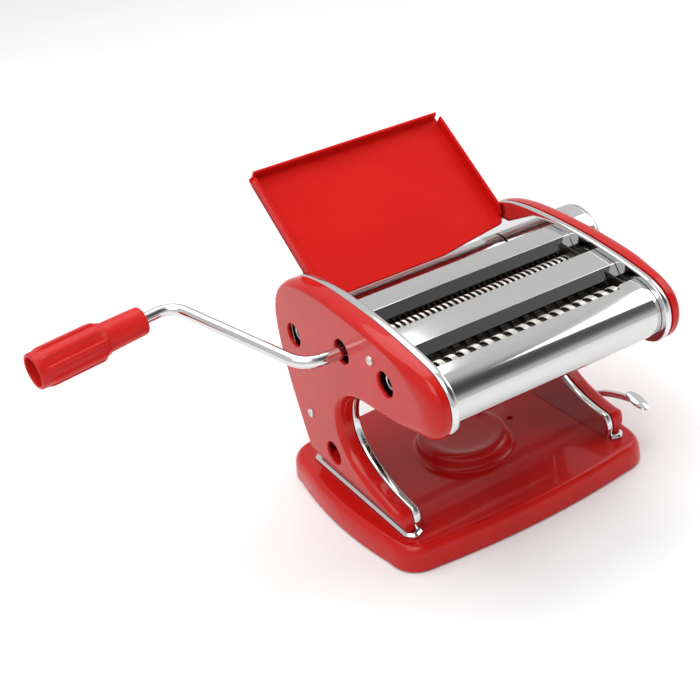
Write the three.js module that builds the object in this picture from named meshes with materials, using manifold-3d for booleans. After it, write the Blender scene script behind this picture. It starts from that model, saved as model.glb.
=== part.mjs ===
// Manual pasta roller machine on a suction base.
// Millimetres. X runs along the rollers (crank at -X, thickness knob at +X), Y to the back, Z up.
// The origin is the middle of the suction cup's underside, on the table.
import * as THREE from 'three';
import { mergeVertices } from 'three/addons/utils/BufferGeometryUtils.js';
import Module from 'manifold-3d';

const wasm = await Module();
wasm.setup();

// ---------------------------------------------------------------- driving dimensions
const GAP = 0.3; // between pieces that touch
const FAR = 400; // beyond everything, for cutting blocks
const RUN = 0.5; // between pieces that turn or slide past each other
const ROUND = 20; // sides of a large round piece
const SMALL_ROUND = 12; // sides of a small round piece

const DOUGH_WIDTH = 151; // clear width between the two side frames
const FRAME_PLATE = 2;
const FRAME_DEPTH = 5.3; // plate and rim together, along X
const RIM = 2.2;
const COVER_DEPTH = 10.7;
const COVER_SHOULDER = 4; // how far the cover's edge is rounded in
const NOSE_SHOULDER = 16; // the same round the nose
const NOSE_SPAN = 44; // length of head over which one becomes the other
const COVER_WALL = 2.2;

const BASE_MARGIN = 12.7; // side covers to the widest part of the base
const BASE_DEPTH = 168;
const BASE_HEIGHT = 18;
const BASE_WALL = 2.4;
const BASE_FLARE = 5.5; // how far the foot of the base stands out from its top
const BASE_LIFT = 1; // rim of the base above the table
const BOSS_RADIUS = 31.5;
const BOSS_HEIGHT = 10;
const PAD_RADIUS = 8;

const CUP_RADIUS = 60;
const CUP_THICK = 2.6;
const CUP_TRAVEL = 2.5;
const CAM_SHAFT_RADIUS = 3;
const CAM_SHAFT_Z = 10;
const CAM_RADIUS = 3.6;
const CAM_OFFSET = 1.2;
const YOKE_HALF = 5; // half the width of the yoke along the shaft
const YOKE_WALL = 3;
const LEVER_STAND_OFF = 2.2; // lever to the side of the base
const LEVER_RADIUS = 2.6;
const LEVER_REACH = 46;
const LEVER_RISE = 17;
const LEVER_SPLAY = 6; // how far the lever's tip stands out from its root, along X

const HEAD_TOP = 164.5;
const HEAD_BACK = 73.6;
const HEAD_DEPTH = 55; // crest to underside at the leg
const NOSE_ROOM = 18; // front of the wide cutter to the tip of the nose
const FOOT_FRONT = -63;
const FOOT_BACK = 45;
const FOOT_RISE = 17;
const LEG_FRONT = 1.8;

const SMOOTH_RADIUS = 15;
const SMOOTH_OPENING = 3; // widest gap between the smooth rollers
const SMOOTH_CLOSE = 2.4; // how far the adjustable roller moves in
const CUTTER_RADIUS = 10.9;
const CUTTER_GAP = 0.5;
const JOURNAL_RADIUS = 5;
const CRANK_ROD_RADIUS = 4;
const SOCKET_RADIUS = CRANK_ROD_RADIUS + 0.4; // takes the crank's rod
const SOCKET_DEPTH = 22;
const BUSH_WALL = 2.6;
const BUSH_FLANGE = 1.4;
const CRANK_HOLE_RADIUS = 8.2;

const GEAR_THICK = 5.5;
const GEAR_TEETH = 12;
const TOOTH_OVERLAP = 1.6; // how deep two cutter gears mesh
const TOOTH_CLEAR = 0.6;

const SHEET = 0.9; // thickness of the top cover sheet
const SHEET_INSET = 3.9; // top covers below the crest line of the frames
const FLANGE_DROP = 6.4; // lip of a top cover, down into the slot
const FLANGE_LEAN = 4.2; // and forwards
const HEEL_DROP = 8; // flange behind the rear cover
const COVER_PLAY = 0.1; // top covers and scrapers to the side frames, beyond the gap

const TRAY_PLAY = 0.5; // tray to each side frame
const TRAY_LENGTH = 102;
const TRAY_THICK = 2;
const TRAY_WALL = 7; // height of the tray's side walls
const TRAY_WALL_START = 12; // up the slope from the tray's foot
const TRAY_LEDGE = 4; // how far the top edge folds down
const TRAY_TILT = THREE.MathUtils.degToRad(36.8);
const TRAY_REST = 16; // up the slope from the tray's foot to the rod it rests on

const KNOB_RADIUS = 24.5;
const KNOB_LENGTH = 28;
const KNOB_WALL = 2.2;
const KNOB_SHAFT_RADIUS = 5;

const SOCKET_END_GAP = 2; // crank's tip to the bottom of its socket
const CRANK_STAND_OFF = 24.7; // cover face to the first bend
const CRANK_RADIUS = 98;
const CRANK_LEAN = 40.5; // how far the arm leans outwards
const CRANK_LIFT = THREE.MathUtils.degToRad(11); // arm above level, towards the back
const CRANK_BEND = 13;
const GRIP_START = 22;
const GRIP_LENGTH = 77;
const GRIP_POCKET = 17; // depth of the grip's open end
const GRIP_TILT = THREE.MathUtils.degToRad(8.2); // grip leans in towards the axle
const GRIP_RADIUS_IN = 9.4;
const GRIP_RADIUS_OUT = 12.5;

// ---------------------------------------------------------------- places worked out from them
const HALF = DOUGH_WIDTH / 2;
const PLATE_OUT = HALF + FRAME_PLATE;
const FRAME_OUT = HALF + FRAME_DEPTH;
const COVER_IN = FRAME_OUT + GAP;
const COVER_OUT = COVER_IN + COVER_DEPTH;
const BASE_WIDTH = 2 * (COVER_OUT + BASE_MARGIN);
const TRAY_WIDTH = DOUGH_WIDTH - 2 * TRAY_PLAY;
const SPAN = HALF - GAP - COVER_PLAY; // half the length of what reaches from frame to frame
const FLOOR = BASE_HEIGHT + GAP; // where the legs stand
const HEAD_UNDER = HEAD_TOP - HEAD_DEPTH;

// A point at a distance from another, in the direction (dy, dz).
function along([y, z], distance, dy, dz) {
  const length = Math.hypot(dy, dz);
  return [y + (distance * dy) / length, z + (distance * dz) / length];
}

function distance([a, b], [c, d]) {
  return Math.hypot(a - c, b - d);
}

const SMOOTH_DRIVE = [HEAD_BACK - 26.6, HEAD_TOP - 44.6];
const SMOOTH_PITCH = 2 * SMOOTH_RADIUS + SMOOTH_OPENING;
const SMOOTH_ADJUST = along(SMOOTH_DRIVE, SMOOTH_PITCH, -31.9, 8.6);
const CUTTER_PITCH = 2 * CUTTER_RADIUS + CUTTER_GAP;
const NARROW_DRIVE = along(SMOOTH_ADJUST, SMOOTH_RADIUS + CUTTER_RADIUS + 6.4, -31.7, 6);
const NARROW_DRIVEN = along(NARROW_DRIVE, CUTTER_PITCH, -22.5, 5);
const WIDE_DRIVE = along(NARROW_DRIVEN, 2 * CUTTER_RADIUS + 5.5, -26.7, -6);
const WIDE_DRIVEN = along(WIDE_DRIVE, CUTTER_PITCH, -22.1, 2.8);
const NIP = [(SMOOTH_DRIVE[0] + SMOOTH_ADJUST[0]) / 2, (SMOOTH_DRIVE[1] + SMOOTH_ADJUST[1]) / 2];
const TRAY_FOOT = [NIP[0] + 2, NIP[1] + SMOOTH_RADIUS + 4.1];

// A point at a distance up the tray's slope and a height above its floor.
function onTray(up, height) {
  const [cos, sin] = [Math.cos(TRAY_TILT), Math.sin(TRAY_TILT)];
  return [TRAY_FOOT[0] + up * cos - height * sin, TRAY_FOOT[1] + up * sin + height * cos];
}

const HEAD_FRONT = WIDE_DRIVEN[0] - CUTTER_RADIUS - NOSE_ROOM;
const JOURNAL_END = COVER_IN + COVER_DEPTH - COVER_WALL - 2;
const GEAR_START = PLATE_OUT + BUSH_FLANGE + GAP + 0.6;

// ---------------------------------------------------------------- solids and booleans
function solid(geometry) {
  const bare = geometry.index ? geometry.toNonIndexed() : geometry.clone();
  bare.deleteAttribute('normal');
  bare.deleteAttribute('uv');
  const merged = mergeVertices(bare, 1e-4);
  const mesh = new wasm.Mesh({
    numProp: 3,
    vertProperties: new Float32Array(merged.attributes.position.array),
    triVerts: new Uint32Array(merged.index.array),
  });
  mesh.merge();
  return new wasm.Manifold(mesh);
}

function geometryOf(manifold) {
  const mesh = manifold.getMesh();
  const geometry = new THREE.BufferGeometry();
  geometry.setAttribute('position', new THREE.BufferAttribute(mesh.vertProperties, 3));
  geometry.setIndex(new THREE.BufferAttribute(mesh.triVerts, 1));
  return geometry;
}

const TO_X = new THREE.Matrix4().makeBasis(
  new THREE.Vector3(0, 1, 0), new THREE.Vector3(0, 0, 1), new THREE.Vector3(1, 0, 0),
);

// An outline in the (y, z) plane, extruded along X from x0 to x1.
function extrudeX(points, x0, x1) {
  const shape = new THREE.Shape(points.map(([y, z]) => new THREE.Vector2(y, z)));
  const geometry = new THREE.ExtrudeGeometry(shape, { depth: x1 - x0, bevelEnabled: false });
  return geometry.applyMatrix4(TO_X).translate(x0, 0, 0);
}

// The same with its far edge, at x1, rounded over by `size` along `reach`.
function extrudeRounded(points, x0, x1, size, reach, steps) {
  const shape = new THREE.Shape(points.map(([y, z]) => new THREE.Vector2(y, z)));
  const geometry = new THREE.ExtrudeGeometry(shape, {
    depth: x1 - x0, bevelThickness: reach, bevelSize: size, bevelOffset: -size, bevelSegments: steps,
  });
  geometry.applyMatrix4(TO_X).translate(x0 - reach, 0, 0);
  const keep = box([x0, x1 + 1], [-FAR, FAR], [FLOOR, FAR]);
  return solid(geometry).intersect(solid(keep));
}

// A solid through rings of [x, y, z] points that all have the same count, from low x to high x.
function loftX(rings) {
  const count = rings[0].length;
  const outline = rings[0].map(([, y, z]) => new THREE.Vector2(y, z));
  const faces = THREE.ShapeUtils.triangulateShape(outline, []);
  const turn = THREE.ShapeUtils.area(outline) > 0;
  const index = [];
  const face = (a, b, c) => index.push(...(turn ? [a, b, c] : [a, c, b]));
  const last = (rings.length - 1) * count;
  for (const [a, b, c] of faces) {
    const up = THREE.ShapeUtils.area([outline[a], outline[b], outline[c]]) > 0 === turn;
    const [p, q] = up ? [b, c] : [c, b];
    face(a, q, p);
    face(last + a, last + p, last + q);
  }
  for (let ring = 0; ring < rings.length - 1; ring += 1) {
    for (let i = 0; i < count; i += 1) {
      const a = ring * count + i;
      const b = ring * count + ((i + 1) % count);
      face(a, b, b + count);
      face(a, b + count, a + count);
    }
  }
  const geometry = new THREE.BufferGeometry();
  geometry.setAttribute('position', new THREE.Float32BufferAttribute(rings.flat(2), 3));
  geometry.setIndex(index);
  return solid(geometry);
}

function box([x0, x1], [y0, y1], [z0, z1]) {
  const geometry = new THREE.BoxGeometry(x1 - x0, y1 - y0, z1 - z0);
  return geometry.translate((x0 + x1) / 2, (y0 + y1) / 2, (z0 + z1) / 2);
}

function rodX(radius, x0, x1, [y, z], sides = SMALL_ROUND) {
  const geometry = new THREE.CylinderGeometry(radius, radius, x1 - x0, sides);
  return geometry.rotateZ(Math.PI / 2).translate((x0 + x1) / 2, y, z);
}

function rodZ(radius, z0, z1, [x, y], sides = SMALL_ROUND) {
  const geometry = new THREE.CylinderGeometry(radius, radius, z1 - z0, sides);
  return geometry.rotateX(Math.PI / 2).translate(x, y, (z0 + z1) / 2);
}

// A turned piece: profile of [place on the axis, radius] points, from axis to axis or closed.
function turned(profile, sides) {
  const points = profile.map(([place, radius]) => new THREE.Vector2(radius, place));
  const area = THREE.ShapeUtils.area(points);
  return new THREE.LatheGeometry(area < 0 ? points.reverse() : points, sides);
}

function turnedX(profile, sides = SMALL_ROUND) {
  return turned(profile, sides).rotateZ(-Math.PI / 2);
}

function turnedZ(profile, sides = SMALL_ROUND) {
  return turned(profile, sides).rotateX(Math.PI / 2);
}

function ringProfile(x0, x1, inner, outer) {
  return [[x0, inner], [x0, outer], [x1, outer], [x1, inner], [x0, inner]];
}

// ---------------------------------------------------------------- side outline of frames and covers
function sideOutline(floor, steps = 6) {
  const nose = HEAD_FRONT;
  const path = new THREE.Path();
  const crest = [(HEAD_FRONT + HEAD_BACK) / 2 + 27, HEAD_TOP];
  path.moveTo(FOOT_FRONT + 2.5, floor);
  path.quadraticCurveTo(FOOT_FRONT - 0.5, floor + FOOT_RISE * 0.7, FOOT_FRONT + 5, floor + FOOT_RISE);
  const waist = floor + (HEAD_UNDER - floor) * 0.58;
  path.bezierCurveTo(LEG_FRONT - 36, floor + FOOT_RISE + 1, LEG_FRONT, waist - 24, LEG_FRONT, waist);
  const armpit = [LEG_FRONT - 36, HEAD_UNDER - 4.5];
  path.bezierCurveTo(LEG_FRONT, waist + 19, LEG_FRONT - 13.8, HEAD_UNDER - 7, ...armpit);
  path.lineTo(nose + 20, HEAD_UNDER + 0.7);
  path.bezierCurveTo(nose + 6, HEAD_UNDER + 2, nose, HEAD_UNDER + 11.5, nose, HEAD_UNDER + 21.5);
  path.bezierCurveTo(nose, HEAD_TOP - 21.5, nose + 8, HEAD_TOP - 14, nose + 22, HEAD_TOP - 10.7);
  path.bezierCurveTo(nose + 56, HEAD_TOP - 3, crest[0] - 31, HEAD_TOP, crest[0], crest[1]);
  path.bezierCurveTo(HEAD_BACK - 21.6, HEAD_TOP, HEAD_BACK, HEAD_TOP - 12.5, HEAD_BACK, HEAD_TOP - 44.5);
  path.bezierCurveTo(HEAD_BACK, HEAD_TOP - 72.5, FOOT_BACK + 15, floor + 37, FOOT_BACK, floor);
  const points = path.getPoints(steps).map((p) => [p.x, p.y]);
  return points.filter((p, i) => i === 0 || distance(p, points[i - 1]) > 0.5);
}

// Every point of a closed outline moved inwards by `inset` (outlines run clockwise seen from +X).
function moved(points, inset) {
  const area = points.reduce((sum, [y, z], i) => {
    const [y2, z2] = points[(i + 1) % points.length];
    return sum + (y * z2 - y2 * z) / 2;
  }, 0);
  const side = Math.sign(area);
  return points.map(([y, z], i) => {
    const [y0, z0] = points[(i + points.length - 1) % points.length];
    const [y1, z1] = points[(i + 1) % points.length];
    const before = new THREE.Vector2(y - y0, z - z0).normalize();
    const after = new THREE.Vector2(y1 - y, z1 - z).normalize();
    const normal = new THREE.Vector2(-(before.y + after.y), before.x + after.x).normalize();
    const miter = Math.max(0.5, normal.dot(new THREE.Vector2(-after.y, after.x)));
    return [y + (side * normal.x * inset) / miter, z + (side * normal.y * inset) / miter];
  });
}

const OUTLINE = sideOutline(FLOOR, 5);

// Height of the top covers' outer face at depth y.
const COVER_LINE = moved(sideOutline(FLOOR, 24), SHEET_INSET);
function coverZ(y) {
  const top = COVER_LINE.filter((p) => p[1] > HEAD_TOP - 22 && p[0] > HEAD_FRONT + 12);
  const next = top.findIndex((p) => p[0] >= y);
  const [y0, z0] = top[next - 1];
  const [y1, z1] = top[next];
  return z0 + ((z1 - z0) * (y - y0)) / (y1 - y0);
}

// ---------------------------------------------------------------- materials
function material(color, roughness, metalness = 0) {
  return () => new THREE.MeshStandardMaterial({ color, roughness, metalness });
}
const RED = material(0xc81d20, 0.18);
const RED_SATIN = material(0xd0201f, 0.4);
const CHROME = material(0xdcdcdc, 0.08, 1);
const STEEL = material(0xb9b6b2, 0.3, 1);
const BRONZE = material(0xa9803f, 0.4, 1);
const NYLON = material(0x2c2c2e, 0.5);
const RUBBER = material(0x1d1d1f, 0.85);

const machine = new THREE.Group();

function add(name, geometry, paint, parent = machine) {
  const mesh = new THREE.Mesh(geometry, paint());
  mesh.name = name;
  parent.add(mesh);
  return mesh;
}

// A group whose X axis is the axle at (y, z).
function axle([y, z], parent = machine) {
  const group = new THREE.Group();
  group.position.set(0, y, z);
  parent.add(group);
  return group;
}

// ---------------------------------------------------------------- base
function baseOutline(grow) {
  const x = BASE_WIDTH / 2 + grow;
  const y = BASE_DEPTH / 2 + grow;
  const corner = 24 + grow;
  const bow = 5; // how far the middle of each side stands out
  const path = new THREE.Path();
  path.moveTo(x - bow, -y + bow + corner);
  path.quadraticCurveTo(x + bow, 0, x - bow, y - bow - corner);
  path.quadraticCurveTo(x - bow, y - bow, x - bow - corner, y - bow);
  path.quadraticCurveTo(0, y + bow, -x + bow + corner, y - bow);
  path.quadraticCurveTo(-x + bow, y - bow, -x + bow, y - bow - corner);
  path.quadraticCurveTo(-x - bow, 0, -x + bow, -y + bow + corner);
  path.quadraticCurveTo(-x + bow, -y + bow, -x + bow + corner, -y + bow);
  path.quadraticCurveTo(0, -y - bow, x - bow - corner, -y + bow);
  path.quadraticCurveTo(x - bow, -y + bow, x - bow, -y + bow + corner);
  const points = path.getPoints(4).map((p) => [p.x, p.y]);
  return points.filter((p, i) => i > 0 && distance(p, points[i - 1]) > 0.5);
}

function shellBlock(grow, z0, z1, size, reach) {
  const shape = new THREE.Shape(baseOutline(grow).map(([x, y]) => new THREE.Vector2(x, y)));
  const geometry = new THREE.ExtrudeGeometry(shape, {
    depth: z1 - z0, bevelThickness: reach, bevelSize: size, bevelOffset: -size, bevelSegments: 2,
  });
  geometry.translate(0, 0, z0 - reach);
  return solid(geometry).intersect(solid(box([-FAR, FAR], [-FAR, FAR], [z0, z1 + 1])));
}

const PAD_INSET = 23; // middle of a pad to the edge of the base
const PAD_SPOTS = [
  ['pad_front_left', -1, -1], ['pad_front_right', 1, -1],
  ['pad_back_left', -1, 1], ['pad_back_right', 1, 1],
].map(([name, sx, sy]) => [name, sx * (BASE_WIDTH / 2 - PAD_INSET), sy * (BASE_DEPTH / 2 - PAD_INSET)]);
const PAD_HEIGHT = 4;
const SHAFT_SUPPORT = [11, 14]; // walls that carry the cam shaft, either side of the stem

function buildBase() {
  const inside = BASE_HEIGHT - BASE_WALL;
  let body = shellBlock(0, BASE_LIFT, BASE_HEIGHT, BASE_FLARE, 9);
  const bossTop = BASE_HEIGHT + BOSS_HEIGHT;
  const boss = turnedZ([
    [BASE_HEIGHT - 1, 0], [BASE_HEIGHT - 1, BOSS_RADIUS], [bossTop - 4, BOSS_RADIUS - 1],
    [bossTop, BOSS_RADIUS - 4.5], [bossTop, BOSS_RADIUS - 9], [bossTop - 1.5, 0],
  ], 24);
  body = body.add(solid(boss));
  let hollow = shellBlock(-BASE_WALL, BASE_LIFT - 2, inside, BASE_FLARE, 9);
  hollow = hollow.add(solid(rodZ(BOSS_RADIUS - 6, inside - 1, bossTop - 4, [0, 0], 24)));
  body = body.subtract(hollow);
  for (const sx of [-1, 1]) {
    const [near, far] = SHAFT_SUPPORT.map((x) => x * sx).sort((a, b) => a - b);
    const reach = BOSS_RADIUS - 8;
    body = body.add(solid(box([near, far], [-reach, reach], [CAM_SHAFT_Z - 3, inside + 2])));
  }
  for (const [, x, y] of PAD_SPOTS) {
    body = body.add(solid(rodZ(PAD_RADIUS - 1, PAD_HEIGHT + GAP, inside + 1, [x, y])));
  }
  body = body.subtract(solid(rodX(CAM_SHAFT_RADIUS + RUN, -20, BASE_WIDTH, [0, CAM_SHAFT_Z])));
  add('base_shell', geometryOf(body), RED);
  for (const [name, x, y] of PAD_SPOTS) {
    const pad = new THREE.CylinderGeometry(PAD_RADIUS, PAD_RADIUS - 1, PAD_HEIGHT, SMALL_ROUND);
    add(name, pad.rotateX(Math.PI / 2), RUBBER).position.set(x, y, PAD_HEIGHT / 2);
  }
}

// ---------------------------------------------------------------- suction cup, yoke and lever
function buildSuction() {
  const rim = [[0, CUP_RADIUS], [1, CUP_RADIUS], [2, CUP_RADIUS - 10]];
  const cup = [[0, 0], ...rim, [CUP_THICK, 14], [CUP_THICK, 0]];
  add('suction_cup', turnedZ(cup, 28), RUBBER);
  // The yoke is a window in the YZ plane that the cam turns in.
  const foot = CUP_THICK + GAP;
  const sill = foot + 1;
  const lintel = CAM_SHAFT_Z + CAM_RADIUS + RUN;
  const halfWindow = CAM_RADIUS + CAM_OFFSET + RUN;
  const halfYoke = halfWindow + YOKE_WALL;
  const yoke = solid(box([-YOKE_HALF, YOKE_HALF], [-halfYoke, halfYoke], [foot, lintel + YOKE_WALL]));
  const window = solid(box([-YOKE_HALF - 1, YOKE_HALF + 1], [-halfWindow, halfWindow], [sill, lintel]));
  add('suction_yoke', geometryOf(yoke.subtract(window)), STEEL);
  // Cam shaft and bent lever are one piece, with a flat thumb pad at the lever's tip.
  const root = BASE_WIDTH / 2 + LEVER_STAND_OFF;
  const cam = rodX(CAM_RADIUS, -YOKE_HALF + GAP, YOKE_HALF - GAP, [-CAM_OFFSET, 0]);
  const shaft = rodX(CAM_SHAFT_RADIUS, -SHAFT_SUPPORT[1] - 2, root + CAM_SHAFT_RADIUS, [0, 0]);
  const route = [[0, 0], [0.16, 0.3], [0.42, 0.68], [0.74, 0.9], [1, 1]];
  const curve = new THREE.CatmullRomCurve3(route.map(([forward, up]) => (
    new THREE.Vector3(root + LEVER_SPLAY * forward, -LEVER_REACH * forward, LEVER_RISE * up))));
  const section = new THREE.Shape();
  section.absarc(0, 0, LEVER_RADIUS, 0, 2 * Math.PI);
  const sweep = { steps: 12, extrudePath: curve, curveSegments: 4, bevelEnabled: false };
  const arm = new THREE.ExtrudeGeometry(section, sweep);
  const pad = new THREE.SphereGeometry(1, 10, 8).scale(5, 9, 1.9).rotateX(-0.25);
  pad.translate(root + LEVER_SPLAY, -LEVER_REACH - 3, LEVER_RISE + 0.6);
  const lever = [cam, arm, pad].reduce((sum, piece) => sum.add(solid(piece)), solid(shaft));
  add('suction_lever', geometryOf(lever), CHROME, axle([0, CAM_SHAFT_Z]));
}

// ---------------------------------------------------------------- side frames, covers and foot trims
const AXLES = {
  smooth_drive: SMOOTH_DRIVE, smooth_adjust: SMOOTH_ADJUST, narrow_drive: NARROW_DRIVE,
  narrow_driven: NARROW_DRIVEN, wide_drive: WIDE_DRIVE, wide_driven: WIDE_DRIVEN,
};
const BUSH_RADIUS = JOURNAL_RADIUS + RUN + BUSH_WALL;
const LEG_HOLE = [14.2, FLOOR + 26];
const COVER_SCREWS = {
  left: [along(NARROW_DRIVEN, 13.8, -13, 4.4), [38.4, FLOOR + 46]],
  right: [[NARROW_DRIVEN[0] - 9, HEAD_UNDER + 8], [38.4, FLOOR + 46]],
};
const SCREW_RADIUS = 1.5;
const TIE_ROD_RADIUS = 3.5;
const TIE_RODS = [
  ['tie_rod_front', [WIDE_DRIVE[0] + 7, HEAD_UNDER + 5.5]],
  ['tie_rod_back', [HEAD_BACK - 13, HEAD_TOP - 65]],
  ['tray_rest_rod', onTray(TRAY_REST, -TRAY_THICK - GAP - TIE_ROD_RADIUS)],
];
const TRAY_LUG_RADIUS = 1.5;
const TRAY_LUG_REACH = 3; // how far the lugs stand in from the frames, over the tray's foot
const TRAY_LUG = onTray(4, GAP + TRAY_LUG_RADIUS);

function mirrored(side, manifold) {
  return side < 0 ? manifold.mirror([1, 0, 0]) : manifold;
}

function buildFrame(side, label) {
  let frame = extrudeRounded(moved(OUTLINE, -0.4), -FRAME_OUT, -HALF, 2.4, 3, 1).mirror([1, 0, 0]);
  frame = frame.subtract(solid(extrudeX(moved(OUTLINE, RIM), PLATE_OUT, FRAME_OUT + 1)));
  for (const [name, centre] of Object.entries(AXLES)) {
    const travel = name === 'smooth_adjust' ? SMOOTH_CLOSE + RUN : GAP;
    frame = frame.subtract(solid(rodX(BUSH_RADIUS + travel, HALF - 1, PLATE_OUT + 1, centre, 20)));
  }
  for (const centre of COVER_SCREWS[label]) {
    frame = frame.subtract(solid(rodX(SCREW_RADIUS + 0.4, HALF - 1, PLATE_OUT + 1, centre, 8)));
  }
  frame = frame.add(solid(rodX(TRAY_LUG_RADIUS, HALF - TRAY_LUG_REACH, HALF + 0.5, TRAY_LUG, 8)));
  add(`${label}_frame`, geometryOf(mirrored(side, frame)), CHROME);
}

// A side cover's outer shape, or its hollow when `wall` is more than 0: the outline, then rings
// that round in towards the outer face, most of all at the nose.
function coverShape(wall) {
  const outline = wall ? moved(OUTLINE, wall) : OUTLINE;
  const inwards = moved(outline, 1).map(([y, z], i) => [y - outline[i][0], z - outline[i][1]]);
  const shoulder = ([y, z]) => {
    const head = z > HEAD_UNDER - 12 ? 1 : 0;
    const share = head * THREE.MathUtils.smoothstep(HEAD_FRONT + NOSE_SPAN - y, 0, NOSE_SPAN - 6);
    return THREE.MathUtils.lerp(COVER_SHOULDER, NOSE_SHOULDER, share);
  };
  const reach = COVER_DEPTH * 0.7;
  const rings = [outline.map(([y, z]) => [wall ? COVER_IN - 1 : COVER_IN, y, z])];
  for (const turn of [0, Math.PI / 6, Math.PI / 3, Math.PI / 2]) {
    rings.push(outline.map((point, i) => {
      const size = shoulder(point) * (1 - Math.cos(turn));
      const x = COVER_OUT - wall - reach * (1 - Math.sin(turn));
      return [x, point[0] + inwards[i][0] * size, point[1] + inwards[i][1] * size];
    }));
  }
  return loftX(rings).intersect(solid(box([0, 200], [-FAR, FAR], [FLOOR, FAR])));
}

const FOOT_SLOPE = 14; // height over which the cover's foot leans in
const FOOT_FACE = COVER_IN + 4; // outer face of the cover at the top of the foot trim
const TRIM_WIDTH = 3.1;
const TRIM_THICK = 1.8;

function buildCover(side, label) {
  let cover = coverShape(0);
  const slope = new THREE.Shape();
  const lean = (COVER_OUT - FOOT_FACE) / (FOOT_SLOPE - TRIM_THICK);
  const under = 6; // the cut goes this far below the top of the trim
  const below = FLOOR + TRIM_THICK - under;
  slope.moveTo(FOOT_FACE - lean * under, below);
  slope.lineTo(COVER_OUT + 0.01, FLOOR + FOOT_SLOPE);
  slope.lineTo(COVER_OUT + 20, FLOOR + FOOT_SLOPE);
  slope.lineTo(COVER_OUT + 20, below);
  const wedge = new THREE.ExtrudeGeometry(slope, { depth: FAR, bevelEnabled: false });
  cover = cover.subtract(solid(wedge.rotateX(Math.PI / 2).translate(0, FAR / 2, 0)));
  const aboveFoot = solid(box([0, COVER_OUT], [-FAR, FAR], [FLOOR + FOOT_SLOPE + 3, FAR]));
  cover = cover.subtract(coverShape(COVER_WALL).intersect(aboveFoot));
  const holes = side < 0
    ? [SMOOTH_DRIVE, NARROW_DRIVE, WIDE_DRIVE, LEG_HOLE].map((centre) => [centre, CRANK_HOLE_RADIUS])
    : [[SMOOTH_ADJUST, KNOB_SHAFT_RADIUS + RUN + 0.3]];
  for (const [centre, radius] of holes) {
    cover = cover.subtract(solid(rodX(radius, COVER_IN - 1, COVER_OUT + 1, centre, 20)));
  }
  for (const centre of COVER_SCREWS[label]) {
    cover = cover.subtract(solid(rodX(SCREW_RADIUS + 0.4, COVER_IN - 1, COVER_OUT + 1, centre, 8)));
  }
  if (side > 0) {
    cover = cover.subtract(solid(rodX(PIN_RADIUS + GAP, COVER_IN, COVER_OUT + 1, PIN_SPOT, 10)));
  }
  add(`${label}_cover`, geometryOf(mirrored(side, cover)), RED);
}

function buildTrim(side, label) {
  const back = FOOT_BACK + 14;
  const front = FOOT_FRONT - 4;
  const inner = FOOT_FACE + GAP;
  const outer = inner + TRIM_WIDTH;
  const shape = new THREE.Shape();
  shape.moveTo(HALF + 1, front + 1);
  shape.lineTo(outer - 4, front);
  shape.quadraticCurveTo(outer, front, outer, front + 5);
  shape.lineTo(outer, back - 7);
  shape.quadraticCurveTo(outer, back, outer - 6, back);
  shape.quadraticCurveTo(HALF + 3, back, HALF + 2.5, back - 6);
  shape.lineTo(HALF + 2.5, FOOT_BACK + GAP + 1.5);
  shape.lineTo(inner, FOOT_BACK + GAP + 1.5);
  shape.lineTo(inner, FOOT_FRONT - 0.6);
  shape.lineTo(HALF + 1, FOOT_FRONT - 0.6);
  const up = { depth: TRIM_THICK, curveSegments: 4, bevelEnabled: false };
  const strip = new THREE.ExtrudeGeometry(shape, up);
  add(`${label}_foot_trim`, geometryOf(mirrored(side, solid(strip.translate(0, 0, FLOOR)))), CHROME);
}

function buildScrew(name, side, centre) {
  const head = COVER_OUT + GAP;
  const profile = [
    [HALF + 0.6, 0], [HALF + 0.6, SCREW_RADIUS], [head, SCREW_RADIUS], [head, SCREW_RADIUS + 1.7],
    [head + 1, SCREW_RADIUS + 1.4], [head + 1.6, SCREW_RADIUS + 0.1], [head + 1.6, 0],
  ];
  const screw = solid(turnedX(profile, 10));
  add(name, geometryOf(mirrored(side, screw)), STEEL).position.set(0, ...centre);
}

// ---------------------------------------------------------------- top covers
// A bent sheet: its outer line, from back to front, and the same line `SHEET` further in.
function bentSheet(name, line) {
  const inner = line.map(([y, z], i) => {
    const [y0, z0] = line[Math.max(i - 1, 0)];
    const [y1, z1] = line[Math.min(i + 1, line.length - 1)];
    const before = new THREE.Vector2(y - y0, z - z0).normalize();
    const after = new THREE.Vector2(y1 - y, z1 - z).normalize();
    const tangent = before.add(after).normalize();
    const last = new THREE.Vector2(y1 - y || y - y0, z1 - z || z - z0).normalize();
    const miter = Math.max(0.6, tangent.dot(last));
    return [y - (tangent.y * SHEET) / miter, z + (tangent.x * SHEET) / miter];
  });
  add(name, extrudeX([...line, ...inner.reverse()], -SPAN, SPAN), CHROME);
}

function topLine(y0, y1, steps) {
  return Array.from({ length: steps + 1 }, (_, i) => {
    const y = y0 + ((y1 - y0) * i) / steps;
    return [y, coverZ(y)];
  });
}

const REAR_COVER = [SMOOTH_ADJUST[0] - 25, NARROW_DRIVE[0] - 11.2];
const MIDDLE_COVER = [NARROW_DRIVEN[0] - 12.5, WIDE_DRIVE[0] - 6.5];
const FRONT_COVER = WIDE_DRIVEN[0] - 5.3;

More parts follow.
